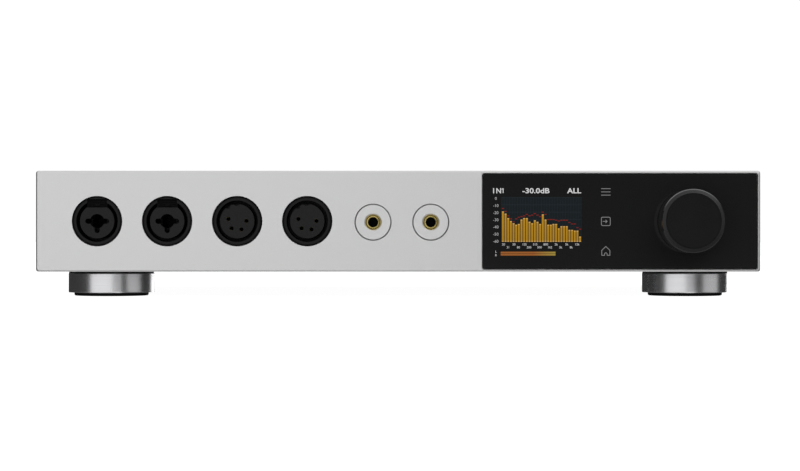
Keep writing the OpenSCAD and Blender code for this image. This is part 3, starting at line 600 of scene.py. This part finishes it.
class AMP_OT_display(Operator):
    """Draws the display: captions, scales, the level graph, its peaks and the meter"""

    bl_idname = "amp.display"
    bl_label = "Display"

    # Levels of the thirty bands in decibels, from bass to treble, and each peak mark's rise above.
    band_levels = (-19, -22, -28, -32, -35, -37, -36, -30, -28, -28, -33, -35, -31, -33, -36,
                   -23, -30, -37, -37, -36, -36, -42, -39, -39, -39, -44, -44, -45, -45, -53)
    peak_rise = (4, 3, 3, 3, 2, 8, 9, 4, 3, 5, 8, 11, 9, 9, 10, 3, 7, 7, 7, 6, 5, 10, 8, 8, 8, 10,
                 8, 9, 4, 10)
    floor_level = -60
    frequencies = ("20", "50", "125", "315", "800", "2k", "5k", "12k",
                   "31", "80", "200", "500", "1k2", "3k", "8k")

    def show(self, bm, name, light):
        piece(bm, name, "chassis", light, smooth=False)

    def graph(self, setup):
        pitch = setup.width / len(self.band_levels)
        per_decibel = setup.height / -self.floor_level
        bar_width = pitch * 0.72
        field, grid, bars, tips, peaks = (bmesh.new() for _ in range(5))
        centre = setup.left + setup.width / 2
        middle_up = setup.base + setup.height / 2
        block(field, (setup.width, setup.height, FILM), on_front(centre, middle_up, GLASS_OUT))
        for step in range(7):
            up = setup.base + setup.height * step / 6
            block(grid, (setup.width, 0.12 * MM, FILM), on_front(centre, up, GLASS_OUT + FILM))
        for band in range(len(self.band_levels) + 1):
            x = setup.left + pitch * band
            block(grid, (0.07 * MM, setup.height, FILM), on_front(x, middle_up, GLASS_OUT + 1.5 * FILM))
        for band, level in enumerate(self.band_levels):
            x = setup.left + pitch * (band + 0.5)
            tall = (level - self.floor_level) * per_decibel
            block(bars, (bar_width, tall, FILM),
                  on_front(x, setup.base + tall / 2, GLASS_OUT + 3 * FILM))
            for up in (0.2 * MM, tall - 0.25 * MM):
                block(tips, (bar_width, 0.45 * MM, FILM),
                      on_front(x, setup.base + up, GLASS_OUT + 4 * FILM))
            rise = self.peak_rise[band] * per_decibel
            block(peaks, (pitch * 0.8, 0.4 * MM, FILM),
                  on_front(x, setup.base + tall + rise, GLASS_OUT + 3 * FILM))
        top = MID_Z + setup.base + setup.height
        foot = MID_Z + setup.base
        for made, name, light, low, high in (
                (field, "graph_field", "graph field light", setup.field, shaded(setup.field, 1.15)),
                (grid, "graph_grid", "graph grid light", shaded(setup.field, 2.1),
                 shaded(setup.field, 2.8)),
                (bars, "graph_bars", "bar light", shaded(setup.bar, 0.85), shaded(setup.bar, 1.2)),
                (tips, "graph_bar_tips", "bar tip light", setup.bar_tip, shaded(setup.bar_tip, 1.1)),
                (peaks, "graph_peaks", "peak light", setup.peak, shaded(setup.peak, 1.2))):
            self.show(made, name, lit(light, low, high, "Z", foot, top))

    def captions(self, words, setup):
        """The top line: the input with its number, the volume and the output."""
        capital = setup.caption_size
        weight = 0.03
        for letter, x in zip(setup.input_name, (45.1, 46.6)):
            lettering(words, letter, capital, on_front(x * MM, setup.caption_base, GLASS_OUT),
                      weight=weight)
        for text, x, width in ((setup.volume_text, 59.0, 12.9), (setup.output_name, 80.2, 6.7)):
            lettering(words, text, capital, on_front(x * MM, setup.caption_base, GLASS_OUT), 0.0,
                      width * MM, weight)
        number = on_front(49.25 * MM, setup.caption_base, GLASS_OUT)
        one = [(0, 0.8 * capital), (0.6 * MM, capital - 0.2 * MM), (0.6 * MM, 0.2 * MM)]
        stroke(words, one, 0.38 * MM, FILM, number)

    def letters(self, setup):
        words, tiny_words = bmesh.new(), bmesh.new()
        self.captions(words, setup)
        small, tiny = 1.35 * MM, 1.0 * MM
        zero_up, label_step = 20.55, 3.385
        for step in range(7):
            up = setup.base + (zero_up - label_step * step) * MM - small / 2
            text = str(-10 * step)
            lettering(tiny_words, text, small, on_front(setup.left - 2.7 * MM, up, GLASS_OUT), 0.5)
        label_pitch = setup.width / 7.55
        rows = ((self.frequencies[:8], 0.9, 1.75), (self.frequencies[8:], 3.0, 3.15))
        for texts, first, drop in rows:
            for step, text in enumerate(texts):
                x = setup.left + first * MM + label_pitch * step
                lettering(tiny_words, text, tiny, on_front(x, setup.base - drop * MM, GLASS_OUT), 0.5,
                          weight=0.03)
        for text, drop in (("L", 5.2), ("R", 6.9)):
            lettering(words, text, tiny, on_front(setup.left - 2.6 * MM, setup.base - drop * MM,
                                                  GLASS_OUT), 0.5)
        for made, name, dim in ((words, "display_letters", 1.0), (tiny_words, "display_scales", 0.72)):
            light = lit(name + "_light", shaded(setup.letters, 0.9 * dim), shaded(setup.letters, dim),
                        "X", 0.0, 0.1)
            self.show(made, name, light)

    def meter(self, setup):
        strip = bmesh.new()
        reach = 26.0 * MM
        x = setup.left - 0.4 * MM
        for up in (-5.15 * MM, -6.15 * MM):
            block(strip, (reach, 0.85 * MM, FILM),
                  on_front(x + reach / 2, setup.base + up, GLASS_OUT))
        self.show(strip, "display_meter", lit("meter light", setup.meter_low, setup.meter_high, "X",
                                              x + reach * 0.6, x + reach))

    def execute(self, context):
        setup = context.scene.amp_display
        self.graph(setup)
        self.letters(setup)
        self.meter(setup)
        dress(grained("display glass", tone(14, 16, 18), 0.12, 0.3 * MM, 0.001 * MM, 0.03, 0.2),
              "display_module")
        return {"FINISHED"}


class AMP_OT_knob(Operator):
    """Makes the knob: a black turned body with a polished ring round its face"""

    bl_idname = "amp.knob"
    bl_label = "Knob"

    def turn(self, profile, name, material, stands_for=()):
        bm = bmesh.new()
        lathe(bm, profile, on_front(middle("knob").x), steps=160)
        piece(bm, name, "knob", material, stands_for)

    def execute(self, context):
        shape = context.scene.amp_knob
        low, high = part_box("knob")
        radius = (high.x - low.x) / 2
        back = FACE_Y - high.y
        face = FACE_Y - low.y
        inner = radius - shape.ring
        outer = radius - shape.edge
        rise = shape.edge * 1.6
        corner = face - shape.ring_drop
        gap = 0.01 * MM
        hollow = 3.4 * MM
        seat = 8.6 * MM
        axle = 3.02 * MM
        pocket = 14.1 * MM
        body = [(0, face), (inner - 0.5 * MM, face), (inner - 0.42 * MM, face - shape.groove),
                (inner - 0.18 * MM, face - shape.groove), (inner - 0.1 * MM, face), (inner, face),
                (inner, corner - rise), (radius - 2 * gap, corner - rise)]
        body += [(radius - 2 * gap, back + 0.9 * MM), (radius - 0.3 * MM, back + 0.75 * MM),
                 (radius - 0.3 * MM, back + 0.5 * MM)]
        body += arc((radius - 0.45 * MM, back + 0.15 * MM), 0.15 * MM, 0, -90, 3)
        body += [(seat, back), (seat, hollow), (axle, hollow), (axle, pocket), (0, pocket)]
        black = Finish("black anodising", Specular_IOR_Level=0.2)
        sweep = black.noise(1700.0, 2.0, black.spaced((0.05, 1.0, 0.05)))
        black.shade("Base Color", black.blend(sweep, tone(11, 11, 12), tone(17, 17, 18)))
        black.shade("Roughness", black.level(sweep, 0.3, 0.46))
        black.bump(sweep, 0.003 * MM)
        self.turn(body, "knob_body", black.material, ("knob",))

        ring = [(inner + gap, face), (outer, corner), (outer, corner - rise),
                (inner + gap, corner - rise), (inner + gap, face)]
        polished = Finish("polished ring", Specular_IOR_Level=0.35)
        lines = polished.noise(2600.0, 2.0)
        polished.shade("Base Color", polished.blend(lines, tone(30, 30, 31), tone(41, 41, 42)))
        polished.shade("Roughness", polished.level(lines, 0.36, 0.5))
        polished.bump(lines, 0.001 * MM)
        self.turn(ring, "knob_ring", polished.material)

        lip = [(outer + gap, corner - rise), (outer + gap, corner - gap), (radius, corner - rise + gap),
               (radius, corner - rise), (outer + gap, corner - rise)]
        self.turn(lip, "knob_edge", plated("polished edge", tone(120, 120, 122), 0.15))
        return {"FINISHED"}


# ---------------------------------------------------------------- front sockets

class AMP_OT_front_sockets(Operator):
    """Finishes the round sockets and jacks, and adds their ribs and contact springs"""

    bl_idname = "amp.front_sockets"
    bl_label = "Front sockets"

    def notch_ribs_with_painted_shade(self, bm, x):
        """A ribbed plate on the combo socket's key, with the catch in its middle, all near-black as painted
        shade.
        """
        floor = -1.42 * MM
        # The plate covers the notch floor: a dark sheet standing in for the shade of a deeper notch; the
        # ribs and catch are real.
        block(bm, (9.2 * MM, 3.9 * MM, 0.12 * MM), on_front(x, 8.5 * MM, floor), 0.03 * MM)
        for up in (7.1, 8.1, 9.1, 10.1):
            block(bm, (7.8 * MM, 0.35 * MM, 0.5 * MM), on_front(x, up * MM, floor), 0.1 * MM)
        block(bm, (2.6 * MM, 1.3 * MM, 0.7 * MM), on_front(x, 7.6 * MM, floor), 0.25 * MM)

    def slot_springs(self, bm, x):
        """A bent contact spring in each of the three slots of the jack's bore."""
        for turn in (0, 180, 270):
            place = on_front(x) @ Matrix.Rotation(radians(turn), 4, "Z")
            block(bm, (0.35 * MM, 1.6 * MM, 4.4 * MM),
                  place @ Matrix.Translation((4.7 * MM, 0, -10.6 * MM)), 0.1 * MM)

    def jack_sleeves(self, gold):
        """Turned sleeves: a bright lip round the bore, and a sunk shoulder outside it, painted darker as
        shade.
        """
        low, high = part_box("small_jack_sleeves")
        radius = (high.z - low.z) / 2
        up = (low.z + high.z) / 2 - MID_Z
        bore = 2.3 * MM
        back = FACE_Y - high.y
        profile = [(bore, back), (radius, back), (radius, -0.5 * MM), (radius - 0.07 * MM, -0.42 * MM),
                   (3.5 * MM, -0.42 * MM), (3.44 * MM, -1.0 * MM), (3.02 * MM, -1.0 * MM),
                   (2.94 * MM, -0.35 * MM)]
        profile += arc((2.84 * MM, -0.3 * MM), 0.1 * MM, 0, 90, 3)
        profile += [(2.5 * MM, -0.2 * MM), (bore, -0.5 * MM), (bore, back)]
        sleeves = bmesh.new()
        for x in (low.x + radius, high.x - radius):
            lathe(sleeves, profile, on_front(x, up), steps=96)
        # From 0.5 to 0.9 mm behind the face the gold goes over to a dark tone: painted shade on the sunk
        # shoulder.
        metal = self.gold_with_painted_depth_shade("jack gold with painted recess shade", gold, 2600.0, (1.0, 0.12, 1.0), 0.5 * MM, 0.9 * MM,
                               tone(112, 98, 54), 0.2, 0.34)
        piece(sleeves, "small_jack_sleeves_turned", "chassis", metal,
              ("small_jack_sleeves",))

    def gold_with_painted_depth_shade(self, name, gold, grain, along, start, end, deep_shade, smooth, rough):
        """Gold that is bright at the mouth, and goes over to a darker tone between two depths, painted shade
        of the recess.
        """
        finish = Finish(name, Metallic=1.0)
        worn = finish.noise(grain, 3.0, finish.spaced(along))
        # The darkening by depth behind the face is painted shade inside the bore and recess.
        depth = finish.level(finish.axis("Y"), 0.0, 1.0, FACE_Y + start, FACE_Y + end)
        bright = finish.blend(worn, shaded(gold, 0.85), gold)
        finish.shade("Base Color", finish.blend(depth, bright, deep_shade))
        finish.shade("Roughness", finish.level(worn, smooth, rough))
        return finish.material

    def execute(self, context):
        colours = context.scene.amp_finishes
        shell = grained("socket shell nylon", colours.black, 0.42, 0.35 * MM, 0.006 * MM, 0.08, 0.12,
                        Specular_IOR_Level=0.2)
        insert = grained("socket insert nylon", colours.insert, 0.5, 0.3 * MM, 0.008 * MM, 0.08, 0.1,
                         Specular_IOR_Level=0.2)
        for number in (1, 2):
            for kind in ("combo", "four_pin"):
                dress(shell, f"{kind}_socket_{number}_shell")
                dress(insert, f"{kind}_socket_{number}_insert")
        ribs, springs = bmesh.new(), bmesh.new()
        for number in (1, 2):
            x = middle(f"combo_socket_{number}_shell").x
            self.notch_ribs_with_painted_shade(ribs, x)
            self.slot_springs(springs, x)
        # The notch pieces are near-black: painted shade in the socket's notch.
        piece(ribs, "combo_notch_ribs", "chassis", grained(
            "notch nylon with painted shade", tone(9, 9, 9), 0.6, 0.3 * MM, 0.008 * MM, 0.08, 0.2, Specular_IOR_Level=0.08))
        # The contacts and springs turn near-black from 1.6 to 2.6 mm behind the face: painted shade inside
        # the bores.
        contact = self.gold_with_painted_depth_shade("contact gold with painted bore shade", colours.gold, 900.0, (1.0, 1.0, 1.0), 1.6 * MM,
                                 2.6 * MM, tone(9, 8, 7), 0.25, 0.4)
        piece(springs, "combo_contact_springs", "chassis", contact)
        self.jack_sleeves(colours.gold)
        dress(contact, "socket_contacts")
        dress(grained("blasted bezel", colours.aluminium, 0.52, 0.16 * MM, 0.005 * MM,
                      0.05, 0.012, Metallic=1.0), "small_jack_bezels")
        dress(shell, "small_jack_bodies")
        return {"FINISHED"}


# ---------------------------------------------------------------- rear

class AMP_OT_rear(Operator):
    """Finishes the rear fittings and adds their screws and lettering"""

    bl_idname = "amp.rear"
    bl_label = "Rear fittings"

    balanced_out = (140 * MM, 108 * MM)

    def flange_screws(self):
        heads = bmesh.new()
        for x in self.balanced_out:
            for side in (-1, 1):
                place = on_rear(x, side * 12 * MM, 2.0 * MM) @ Matrix.Translation((side * 9.5 * MM, 0, 0))
                dome = [(0, 0.5 * MM), (0.75 * MM, 0.5 * MM), (0.75 * MM, 1.15 * MM)]
                dome += arc((1.2 * MM, 0.1 * MM), 1.1 * MM, 80, 10, 5)
                dome += [(2.35 * MM, 0.0), (1.5 * MM, -0.01 * MM), (1.5 * MM, -4.0 * MM), (0, -4.0 * MM)]
                lathe(heads, dome, place, steps=32)
        return heads

    def legends(self, letters):
        """Plain lettering: channel letters, input numbers and the two mains voltages."""
        capital = 2.6 * MM
        right_out, left_out = self.balanced_out
        for text, x, up in (("R", right_out, 17.6), ("L", left_out, 17.6), ("OUT", 124 * MM, 17.6),
                            ("L", 80 * MM, 18.4), ("R", 60 * MM, 18.4),
                            ("OUT", 70 * MM, 9.0), ("IN 3", 70 * MM, -11.2),
                            ("IN 2", 34 * MM, 9.2), ("IN 1", 14 * MM, 9.2), ("USB", -8 * MM, 9.2),
                            ("115 V", -45.5 * MM, 9.4), ("230 V", -58.5 * MM, 9.4)):
            size = capital if len(text) < 4 else capital * 0.82
            lettering(letters, text, size, on_rear(x, up * MM), 0.5, weight=0.04)

    def execute(self, context):
        colours = context.scene.amp_finishes
        black = grained("rear black nylon", colours.black, 0.46, 0.4 * MM, 0.01 * MM, 0.08, 0.12)
        dress(black, "mains_module", "voltage_selector", "optical_socket")
        dress(grained("satin black zinc", tone(28, 28, 30), 0.36, 0.5 * MM, 0.008 * MM, 0.06, 0.1,
                      Metallic=0.3), "line_out_shells")
        for name, shade, roughness, grain, depth, node in (
                ("drawer nylon", (46, 46, 47), 0.5, 0.35, 0.01, "fuse_drawer"),
                ("shutter nylon", (62, 62, 64), 0.42, 0.3, 0.006, "optical_shutter"),
                ("rocker gloss", (22, 22, 23), 0.24, 0.6, 0.004, "power_rocker"),
                ("slider red", (176, 40, 30), 0.42, 0.3, 0.008, "voltage_slider")):
            dress(grained(name, tone(*shade), roughness, grain * MM, depth * MM), node)
        dress(plated("rear gold", colours.gold, 0.22), "line_out_pins", "rca_barrels")
        dress(plated("bright nickel", colours.nickel, 0.2), "inlet_blades", "usb_shell")
        ivory = grained("ivory nylon", tone(226, 220, 204), 0.45, 0.4 * MM, 0.006 * MM, 0.06, 0.04)
        dress(ivory, "usb_tongue", "encoder_rotor")
        self.phono_rings()
        piece(self.flange_screws(), "balanced_out_screws", "chassis",
              plated("flange screw steel", tone(70, 70, 74), 0.32))
        letters = bmesh.new()
        self.legends(letters)
        ink = grained("legend ink", tone(38, 38, 40), 0.6, 0.2 * MM, 0.002 * MM, 0.05, 0.1)
        piece(letters, "rear_legends", "chassis", ink, smooth=False)
        self.rocker_marks(ivory)
        return {"FINISHED"}

    def phono_rings(self):
        """White inserts on the left channel, red on the right and orange on the digital input."""
        finish = Finish("phono insert nylon", Roughness=0.42)
        fine = finish.noise(2500.0, 3.0)
        across = finish.level(finish.axis("X"), 0.0, 1.0, 0.0, 0.1)
        bands = finish.ramp(across, [(0.0, tone(206, 120, 36)), (0.47, tone(178, 34, 30)),
                                     (0.7, tone(224, 222, 216))], "CONSTANT")
        finish.shade("Base Color", finish.blend(finish.level(fine, 0.0, 0.2), bands, tone(120, 110, 100)))
        finish.bump(fine, 0.006 * MM)
        dress(finish.material, "rca_inserts")

    def rocker_marks(self, material):
        """A bar and a ring on the rocker's two halves."""
        low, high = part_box("power_rocker")
        marks = bmesh.new()
        tilt = Matrix.Rotation(radians(-9), 4, "X")
        pivot = REAR @ Matrix.Translation((-(low.x + high.x) / 2, 0, -4 * MM)) @ tilt
        slope = Matrix.Rotation(radians(10.6), 4, "X")
        up = pivot @ Matrix.Translation((0, 5.4 * MM, 5.2 * MM)) @ slope
        block(marks, (0.7 * MM, 3.4 * MM, 0.06 * MM), up, 0.02 * MM)
        down = pivot @ Matrix.Translation((0, -5.4 * MM, 5.2 * MM)) @ slope.inverted()
        lathe(marks, [(1.2 * MM, 0), (1.8 * MM, 0), (1.8 * MM, 0.06 * MM), (1.2 * MM, 0.06 * MM),
                      (1.2 * MM, 0)], down, steps=40)
        piece(marks, "rocker_marks", "power_rocker", material)


# ---------------------------------------------------------------- inside

class AMP_OT_boards(Operator):
    """Finishes the boards and adds their small parts and capacitors"""

    bl_idname = "amp.boards"
    bl_label = "Boards"

    def capacitors(self, bm):
        low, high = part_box("filter_capacitors")
        radius = 8.0 * MM
        columns = (low.x + radius, high.x - radius)
        rows = 5
        pitch = (high.y - low.y - 2 * radius) / (rows - 1)
        tall = high.z - low.z
        can = [(0, tall - 0.35 * MM), (radius - 1.5 * MM, tall - 0.35 * MM)]
        can += arc((radius - 1.0 * MM, tall - 0.8 * MM), 0.8 * MM, 90, 0, 5)
        can += [(radius, tall - 1.2 * MM), (radius, 3.2 * MM), (radius - 0.6 * MM, 2.7 * MM),
                (radius - 0.6 * MM, 2.3 * MM), (radius, 1.8 * MM), (radius, 0.3 * MM),
                (radius - 0.3 * MM, 0), (0, 0)]
        for x in columns:
            for row in range(rows):
                lathe(bm, can, Matrix.Translation((x, low.y + radius + pitch * row, low.z)), steps=48)

    def small_parts(self, bm):
        """Rows of chip resistors and capacitors round the packages."""
        low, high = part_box("main_board")
        for row in range(9):
            for column in range(22):
                x = low.x + (14 + 7.6 * column) * MM
                y = low.y + (9 + 19.5 * row + 3.0 * sin(column * 1.7 + row)) * MM
                if not self.taken(x, y):
                    turn = Matrix.Rotation(pi / 2 * (column % 2), 4, "Z")
                    block(bm, (2.0 * MM, 1.25 * MM, 0.6 * MM),
                          Matrix.Translation((x, y, high.z)) @ turn, 0.12 * MM, 1)

    def taken(self, x, y):
        """Whether a chip, a relay or a capacitor already stands near this place."""
        low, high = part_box("filter_capacitors")
        away = min(abs(x - low.x - 8 * MM), abs(x - high.x + 8 * MM))
        if away < 10 * MM and low.y - 3 * MM < y < high.y + 3 * MM:
            return True
        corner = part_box("board_chips")[0]
        clear = 9.5 * MM
        for column in range(4):
            for row in range(3):
                near_x = abs(x - corner.x - (13 + 34 * column) * MM) < clear
                near_y = abs(y - corner.y - (7 + 40 * row) * MM) < clear
                if near_x and near_y:
                    return True
        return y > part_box("board_chips")[1].y - 15 * MM

    def execute(self, context):
        colours = context.scene.amp_finishes
        tin = tone(190, 190, 186)
        dress(circuit("main board mask", colours.board, shaded(colours.board, 1.5), tin), "main_board")
        dress(circuit("small board mask", colours.dark_board, shaded(colours.dark_board, 1.7), tin,
                      4 * MM), "touch_board", "display_board", "headphone_board")
        dress(grained("chip resin", tone(30, 30, 32), 0.5, 0.3 * MM, 0.01 * MM, 0.08, 0.2), "board_chips")
        dress(plated("standoff brass", tone(206, 178, 108), 0.3), "board_standoffs")
        dress(grained("wire sleeve", tone(96, 62, 38), 0.5, 0.8 * MM, 0.02 * MM), "mains_leads")
        self.ribbon()
        cans = bmesh.new()
        self.capacitors(cans)
        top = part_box("filter_capacitors")[1].z
        sleeve = Finish("capacitor sleeve", Roughness=0.3)
        crown = sleeve.level(sleeve.axis("Z"), 0.0, 1.0, top - 0.7 * MM, top - 0.5 * MM)
        print_lines = sleeve.noise(320.0, 2.0, sleeve.spaced((1.0, 1.0, 0.15)))
        wrap = sleeve.blend(sleeve.level(print_lines, 0.0, 1.0, 0.45, 0.75), tone(22, 30, 58),
                            tone(60, 76, 120))
        sleeve.shade("Base Color", sleeve.blend(crown, wrap, tone(205, 205, 205)))
        sleeve.shade("Metallic", crown)
        sleeve.bump(print_lines, 0.01 * MM)
        piece(cans, "filter_capacitor_cans", "chassis", sleeve.material,
              ("filter_capacitors",))
        bits = bmesh.new()
        self.small_parts(bits)
        piece(bits, "board_small_parts", "chassis", grained(
            "chip part ceramic", tone(120, 104, 84), 0.4, 0.5 * MM, 0.01 * MM, 0.08, 0.5))
        return {"FINISHED"}

    def ribbon(self):
        """Flat cable: grey, with a line between its wires and a red first wire."""
        low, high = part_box("display_ribbon")
        finish = Finish("flat cable", Roughness=0.45)
        wires = finish.sum("SINE", finish.sum("MULTIPLY", finish.axis("X"), tau / (1.27 * MM)))
        first = finish.level(finish.axis("X"), 1.0, 0.0, low.x + 1.2 * MM, low.x + 1.3 * MM)
        grey = finish.blend(finish.level(wires, 0.0, 1.0, -1.0, 1.0), tone(128, 130, 134),
                            tone(168, 170, 174))
        finish.shade("Base Color", finish.blend(first, grey, tone(170, 40, 36)))
        finish.bump(wires, 0.15 * MM)
        dress(finish.material, "display_ribbon")


class AMP_OT_transformer(Operator):
    """Winds tape round the toroidal transformer, in overlapping turns"""

    bl_idname = "amp.transformer"
    bl_label = "Transformer"

    turns = 40
    steps_per_turn = 5

    def execute(self, context):
        low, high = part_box("transformer")
        centre = (low + high) / 2
        outer = (high.x - low.x) / 2 - 0.3 * MM
        inner = 14.3 * MM
        round_edge = 6.0 * MM
        half = (high.z - low.z) / 2 - 0.3 * MM
        section = []
        for first, (cx, cz) in ((0, (outer, half)), (90, (inner, half)), (180, (inner, -half)),
                                (270, (outer, -half))):
            out = -round_edge if cx == outer else round_edge
            up = -round_edge if cz > 0 else round_edge
            section += arc((cx + out, cz + up), round_edge, first, first + 90, 5)
        bm = bmesh.new()
        steps = self.turns * self.steps_per_turn
        lathe(bm, section + [section[0]], Matrix.Identity(4), steps=steps)
        core = (outer + inner) / 2
        for v in bm.verts:
            turn = (v.co.xy.to_2d().angle_signed(Vector((1, 0))) / tau * self.turns) % 1.0
            axis = Vector((v.co.x, v.co.y, 0)).normalized() * core
            v.co += (v.co - axis).normalized() * (0.28 * MM * turn)
        bmesh.ops.transform(bm, matrix=Matrix.Translation(centre), verts=bm.verts)
        tape = Finish("polyester tape", Roughness=0.28, Coat_Weight=0.3)
        grain = tape.noise(140.0, 4.0)
        base = context.scene.amp_finishes.tape
        tape.shade("Base Color", tape.blend(grain, shaded(base, 0.8), shaded(base, 1.1)))
        tape.bump(grain, 0.05 * MM)
        piece(bm, "transformer_tape", "chassis", tape.material, ("transformer",))
        return {"FINISHED"}


# ---------------------------------------------------------------- stage

class AMP_OT_stage(Operator):
    """Sets up the pale floor, the soft boxes and the camera"""

    bl_idname = "amp.stage"
    bl_label = "Stage"

    def soft_box(self, name, place, aim, width, height, radiance):
        light = bpy.data.lights.new(name, "AREA")
        light.shape = "RECTANGLE"
        light.size = width
        light.size_y = height
        light.energy = radiance * pi * width * height
        lamp = bpy.data.objects.new(name, light)
        lamp.location = place
        lamp.rotation_euler = (Vector(aim) - Vector(place)).to_track_quat("-Z", "Y").to_euler()
        lamp.visible_camera = False
        bpy.context.scene.collection.objects.link(lamp)

    def floor(self, radius):
        """Pale paper that only the camera sees, so that nothing mirrors its edge."""
        bm = bmesh.new()
        bmesh.ops.create_circle(bm, cap_ends=True, radius=radius, segments=96)
        bmesh.ops.translate(bm, vec=(0, 0, -0.1 * MM), verts=bm.verts)
        mesh = bpy.data.meshes.new("floor")
        bm.to_mesh(mesh)
        bm.free()
        floor = bpy.data.objects.new("floor", mesh)
        bpy.context.scene.collection.objects.link(floor)
        floor.visible_glossy = floor.visible_diffuse = floor.visible_shadow = False
        paper = Finish("pale paper", Roughness=0.9, Specular_IOR_Level=0.0,
                       Emission_Color=(1, 1, 1, 1), Emission_Strength=0.98)
        fibres = paper.noise(60.0, 4.0)
        paper.shade("Base Color", paper.blend(fibres, (0.4, 0.4, 0.4, 1), (0.44, 0.44, 0.44, 1)))
        mesh.materials.append(paper.material)

    def room(self, scene, lower, level, upper):
        """White where the camera looks past the object; a dim grey room with a pale top and bottom."""
        world = bpy.data.worlds.new("studio")
        world.use_nodes = True
        tree = world.node_tree
        tree.nodes.clear()
        around = add_node(tree, "TexCoord", {}).outputs["Generated"]
        up = add_node(tree, "SeparateXYZ", {0: around}).outputs["Z"]
        height = add_node(tree, "MapRange", {"Value": up, "From Min": -1.0, "From Max": 1.0})
        stops = [(at, (grey, grey, grey, 1.0))
                 for at, grey in ((0.3, lower), (0.44, level), (0.64, level), (0.88, upper))]
        greys = add_ramp(tree, height.outputs["Result"], stops, "EASE")
        dim = add_node(tree, "Background", {"Color": greys})
        white = add_node(tree, "Background", {"Color": (1, 1, 1, 1), "Strength": 1.05})
        seen = add_node(tree, "LightPath", {}).outputs["Is Camera Ray"]
        mix = add_node(tree, "MixShader", {0: seen, 1: dim.outputs[0], 2: white.outputs[0]})
        add_node(tree, "OutputWorld", {"Surface": mix.outputs[0]})
        scene.world = world

    def box_light(self, name, azimuth, distance, height, width, tall, radiance):
        """A soft box that faces the object; azimuth in degrees from the front, towards the right."""
        turn = radians(azimuth)
        centre = Vector((0, FACE_Y, MID_Z))
        place = (distance * sin(turn), FACE_Y - distance * cos(turn), height)
        self.soft_box(name, place, centre, width, tall, radiance)

    def execute(self, context):
        scene = context.scene
        setup = scene.amp_stage
        scene.view_settings.view_transform = "Standard"
        self.floor(setup.floor_radius)
        self.room(scene, setup.lower, setup.ambient, setup.upper)
        for light in (("key box", -27, 0.95, 0.05, 1.09, 0.8, setup.key),
                      ("low box", 15, 0.95, -0.22, 0.42, 0.42, setup.key),
                      ("front top box", 27, 1.8, 1.35, 2.4, 1.1, setup.front_top),
                      ("fill box", 69, 1.8, 0.05, 1.5, 0.9, setup.fill),
                      ("rear right box", 158, 2.2, 0.1, 1.3, 0.9, setup.rim)):
            self.box_light(*light)
        before_face = FACE_Y - 60 * MM
        self.soft_box("bevel strip", (0, before_face, -0.4), (0, before_face, 0), 0.6, 0.16,
                      setup.strip)
        data = bpy.data.cameras.new("camera")
        data.sensor_width = 36.0
        data.lens = data.sensor_width * setup.distance / setup.view_width
        data.clip_start = 0.02
        data.clip_end = 50.0
        camera = bpy.data.objects.new("camera", data)
        camera.location = (setup.aside, FACE_Y - setup.distance, setup.height)
        camera.rotation_euler = (pi / 2, 0, 0)
        scene.collection.objects.link(camera)
        scene.camera = camera
        return {"FINISHED"}


# ---------------------------------------------------------------- add-on

BUILD_STEPS = (AMP_OT_case, AMP_OT_feet, AMP_OT_fascia, AMP_OT_display, AMP_OT_knob,
               AMP_OT_front_sockets, AMP_OT_rear, AMP_OT_boards, AMP_OT_transformer, AMP_OT_stage)
SETTINGS = {"amp_finishes": AMP_PG_finishes, "amp_display": AMP_PG_display,
            "amp_knob": AMP_PG_knob, "amp_stage": AMP_PG_stage}


class AMP_PT_sidebar(Panel):
    """Lists the build steps and their settings"""

    bl_idname = "AMP_PT_sidebar"
    bl_label = "Amplifier"
    bl_space_type = "VIEW_3D"
    bl_region_type = "UI"
    bl_category = "Amplifier"

    def draw(self, context):
        for name, group in SETTINGS.items():
            box = self.layout.box()
            box.label(text=group.__doc__)
            for setting in group.__annotations__:
                box.prop(getattr(context.scene, name), setting)
        for step in BUILD_STEPS:
            self.layout.operator(step.bl_idname)


def register():
    for made in (*SETTINGS.values(), *BUILD_STEPS, AMP_PT_sidebar):
        bpy.utils.register_class(made)
    for name, group in SETTINGS.items():
        setattr(bpy.types.Scene, name, PointerProperty(type=group))


def unregister():
    for name in SETTINGS:
        delattr(bpy.types.Scene, name)
    for made in (AMP_PT_sidebar, *reversed(BUILD_STEPS), *reversed(SETTINGS.values())):
        bpy.utils.unregister_class(made)


def main():
    register()
    for step in BUILD_STEPS:
        family, name = step.bl_idname.split(".")
        getattr(getattr(bpy.ops, family), name)()
    bpy.context.view_layer.update()


if __name__ == "__main__":
    main()
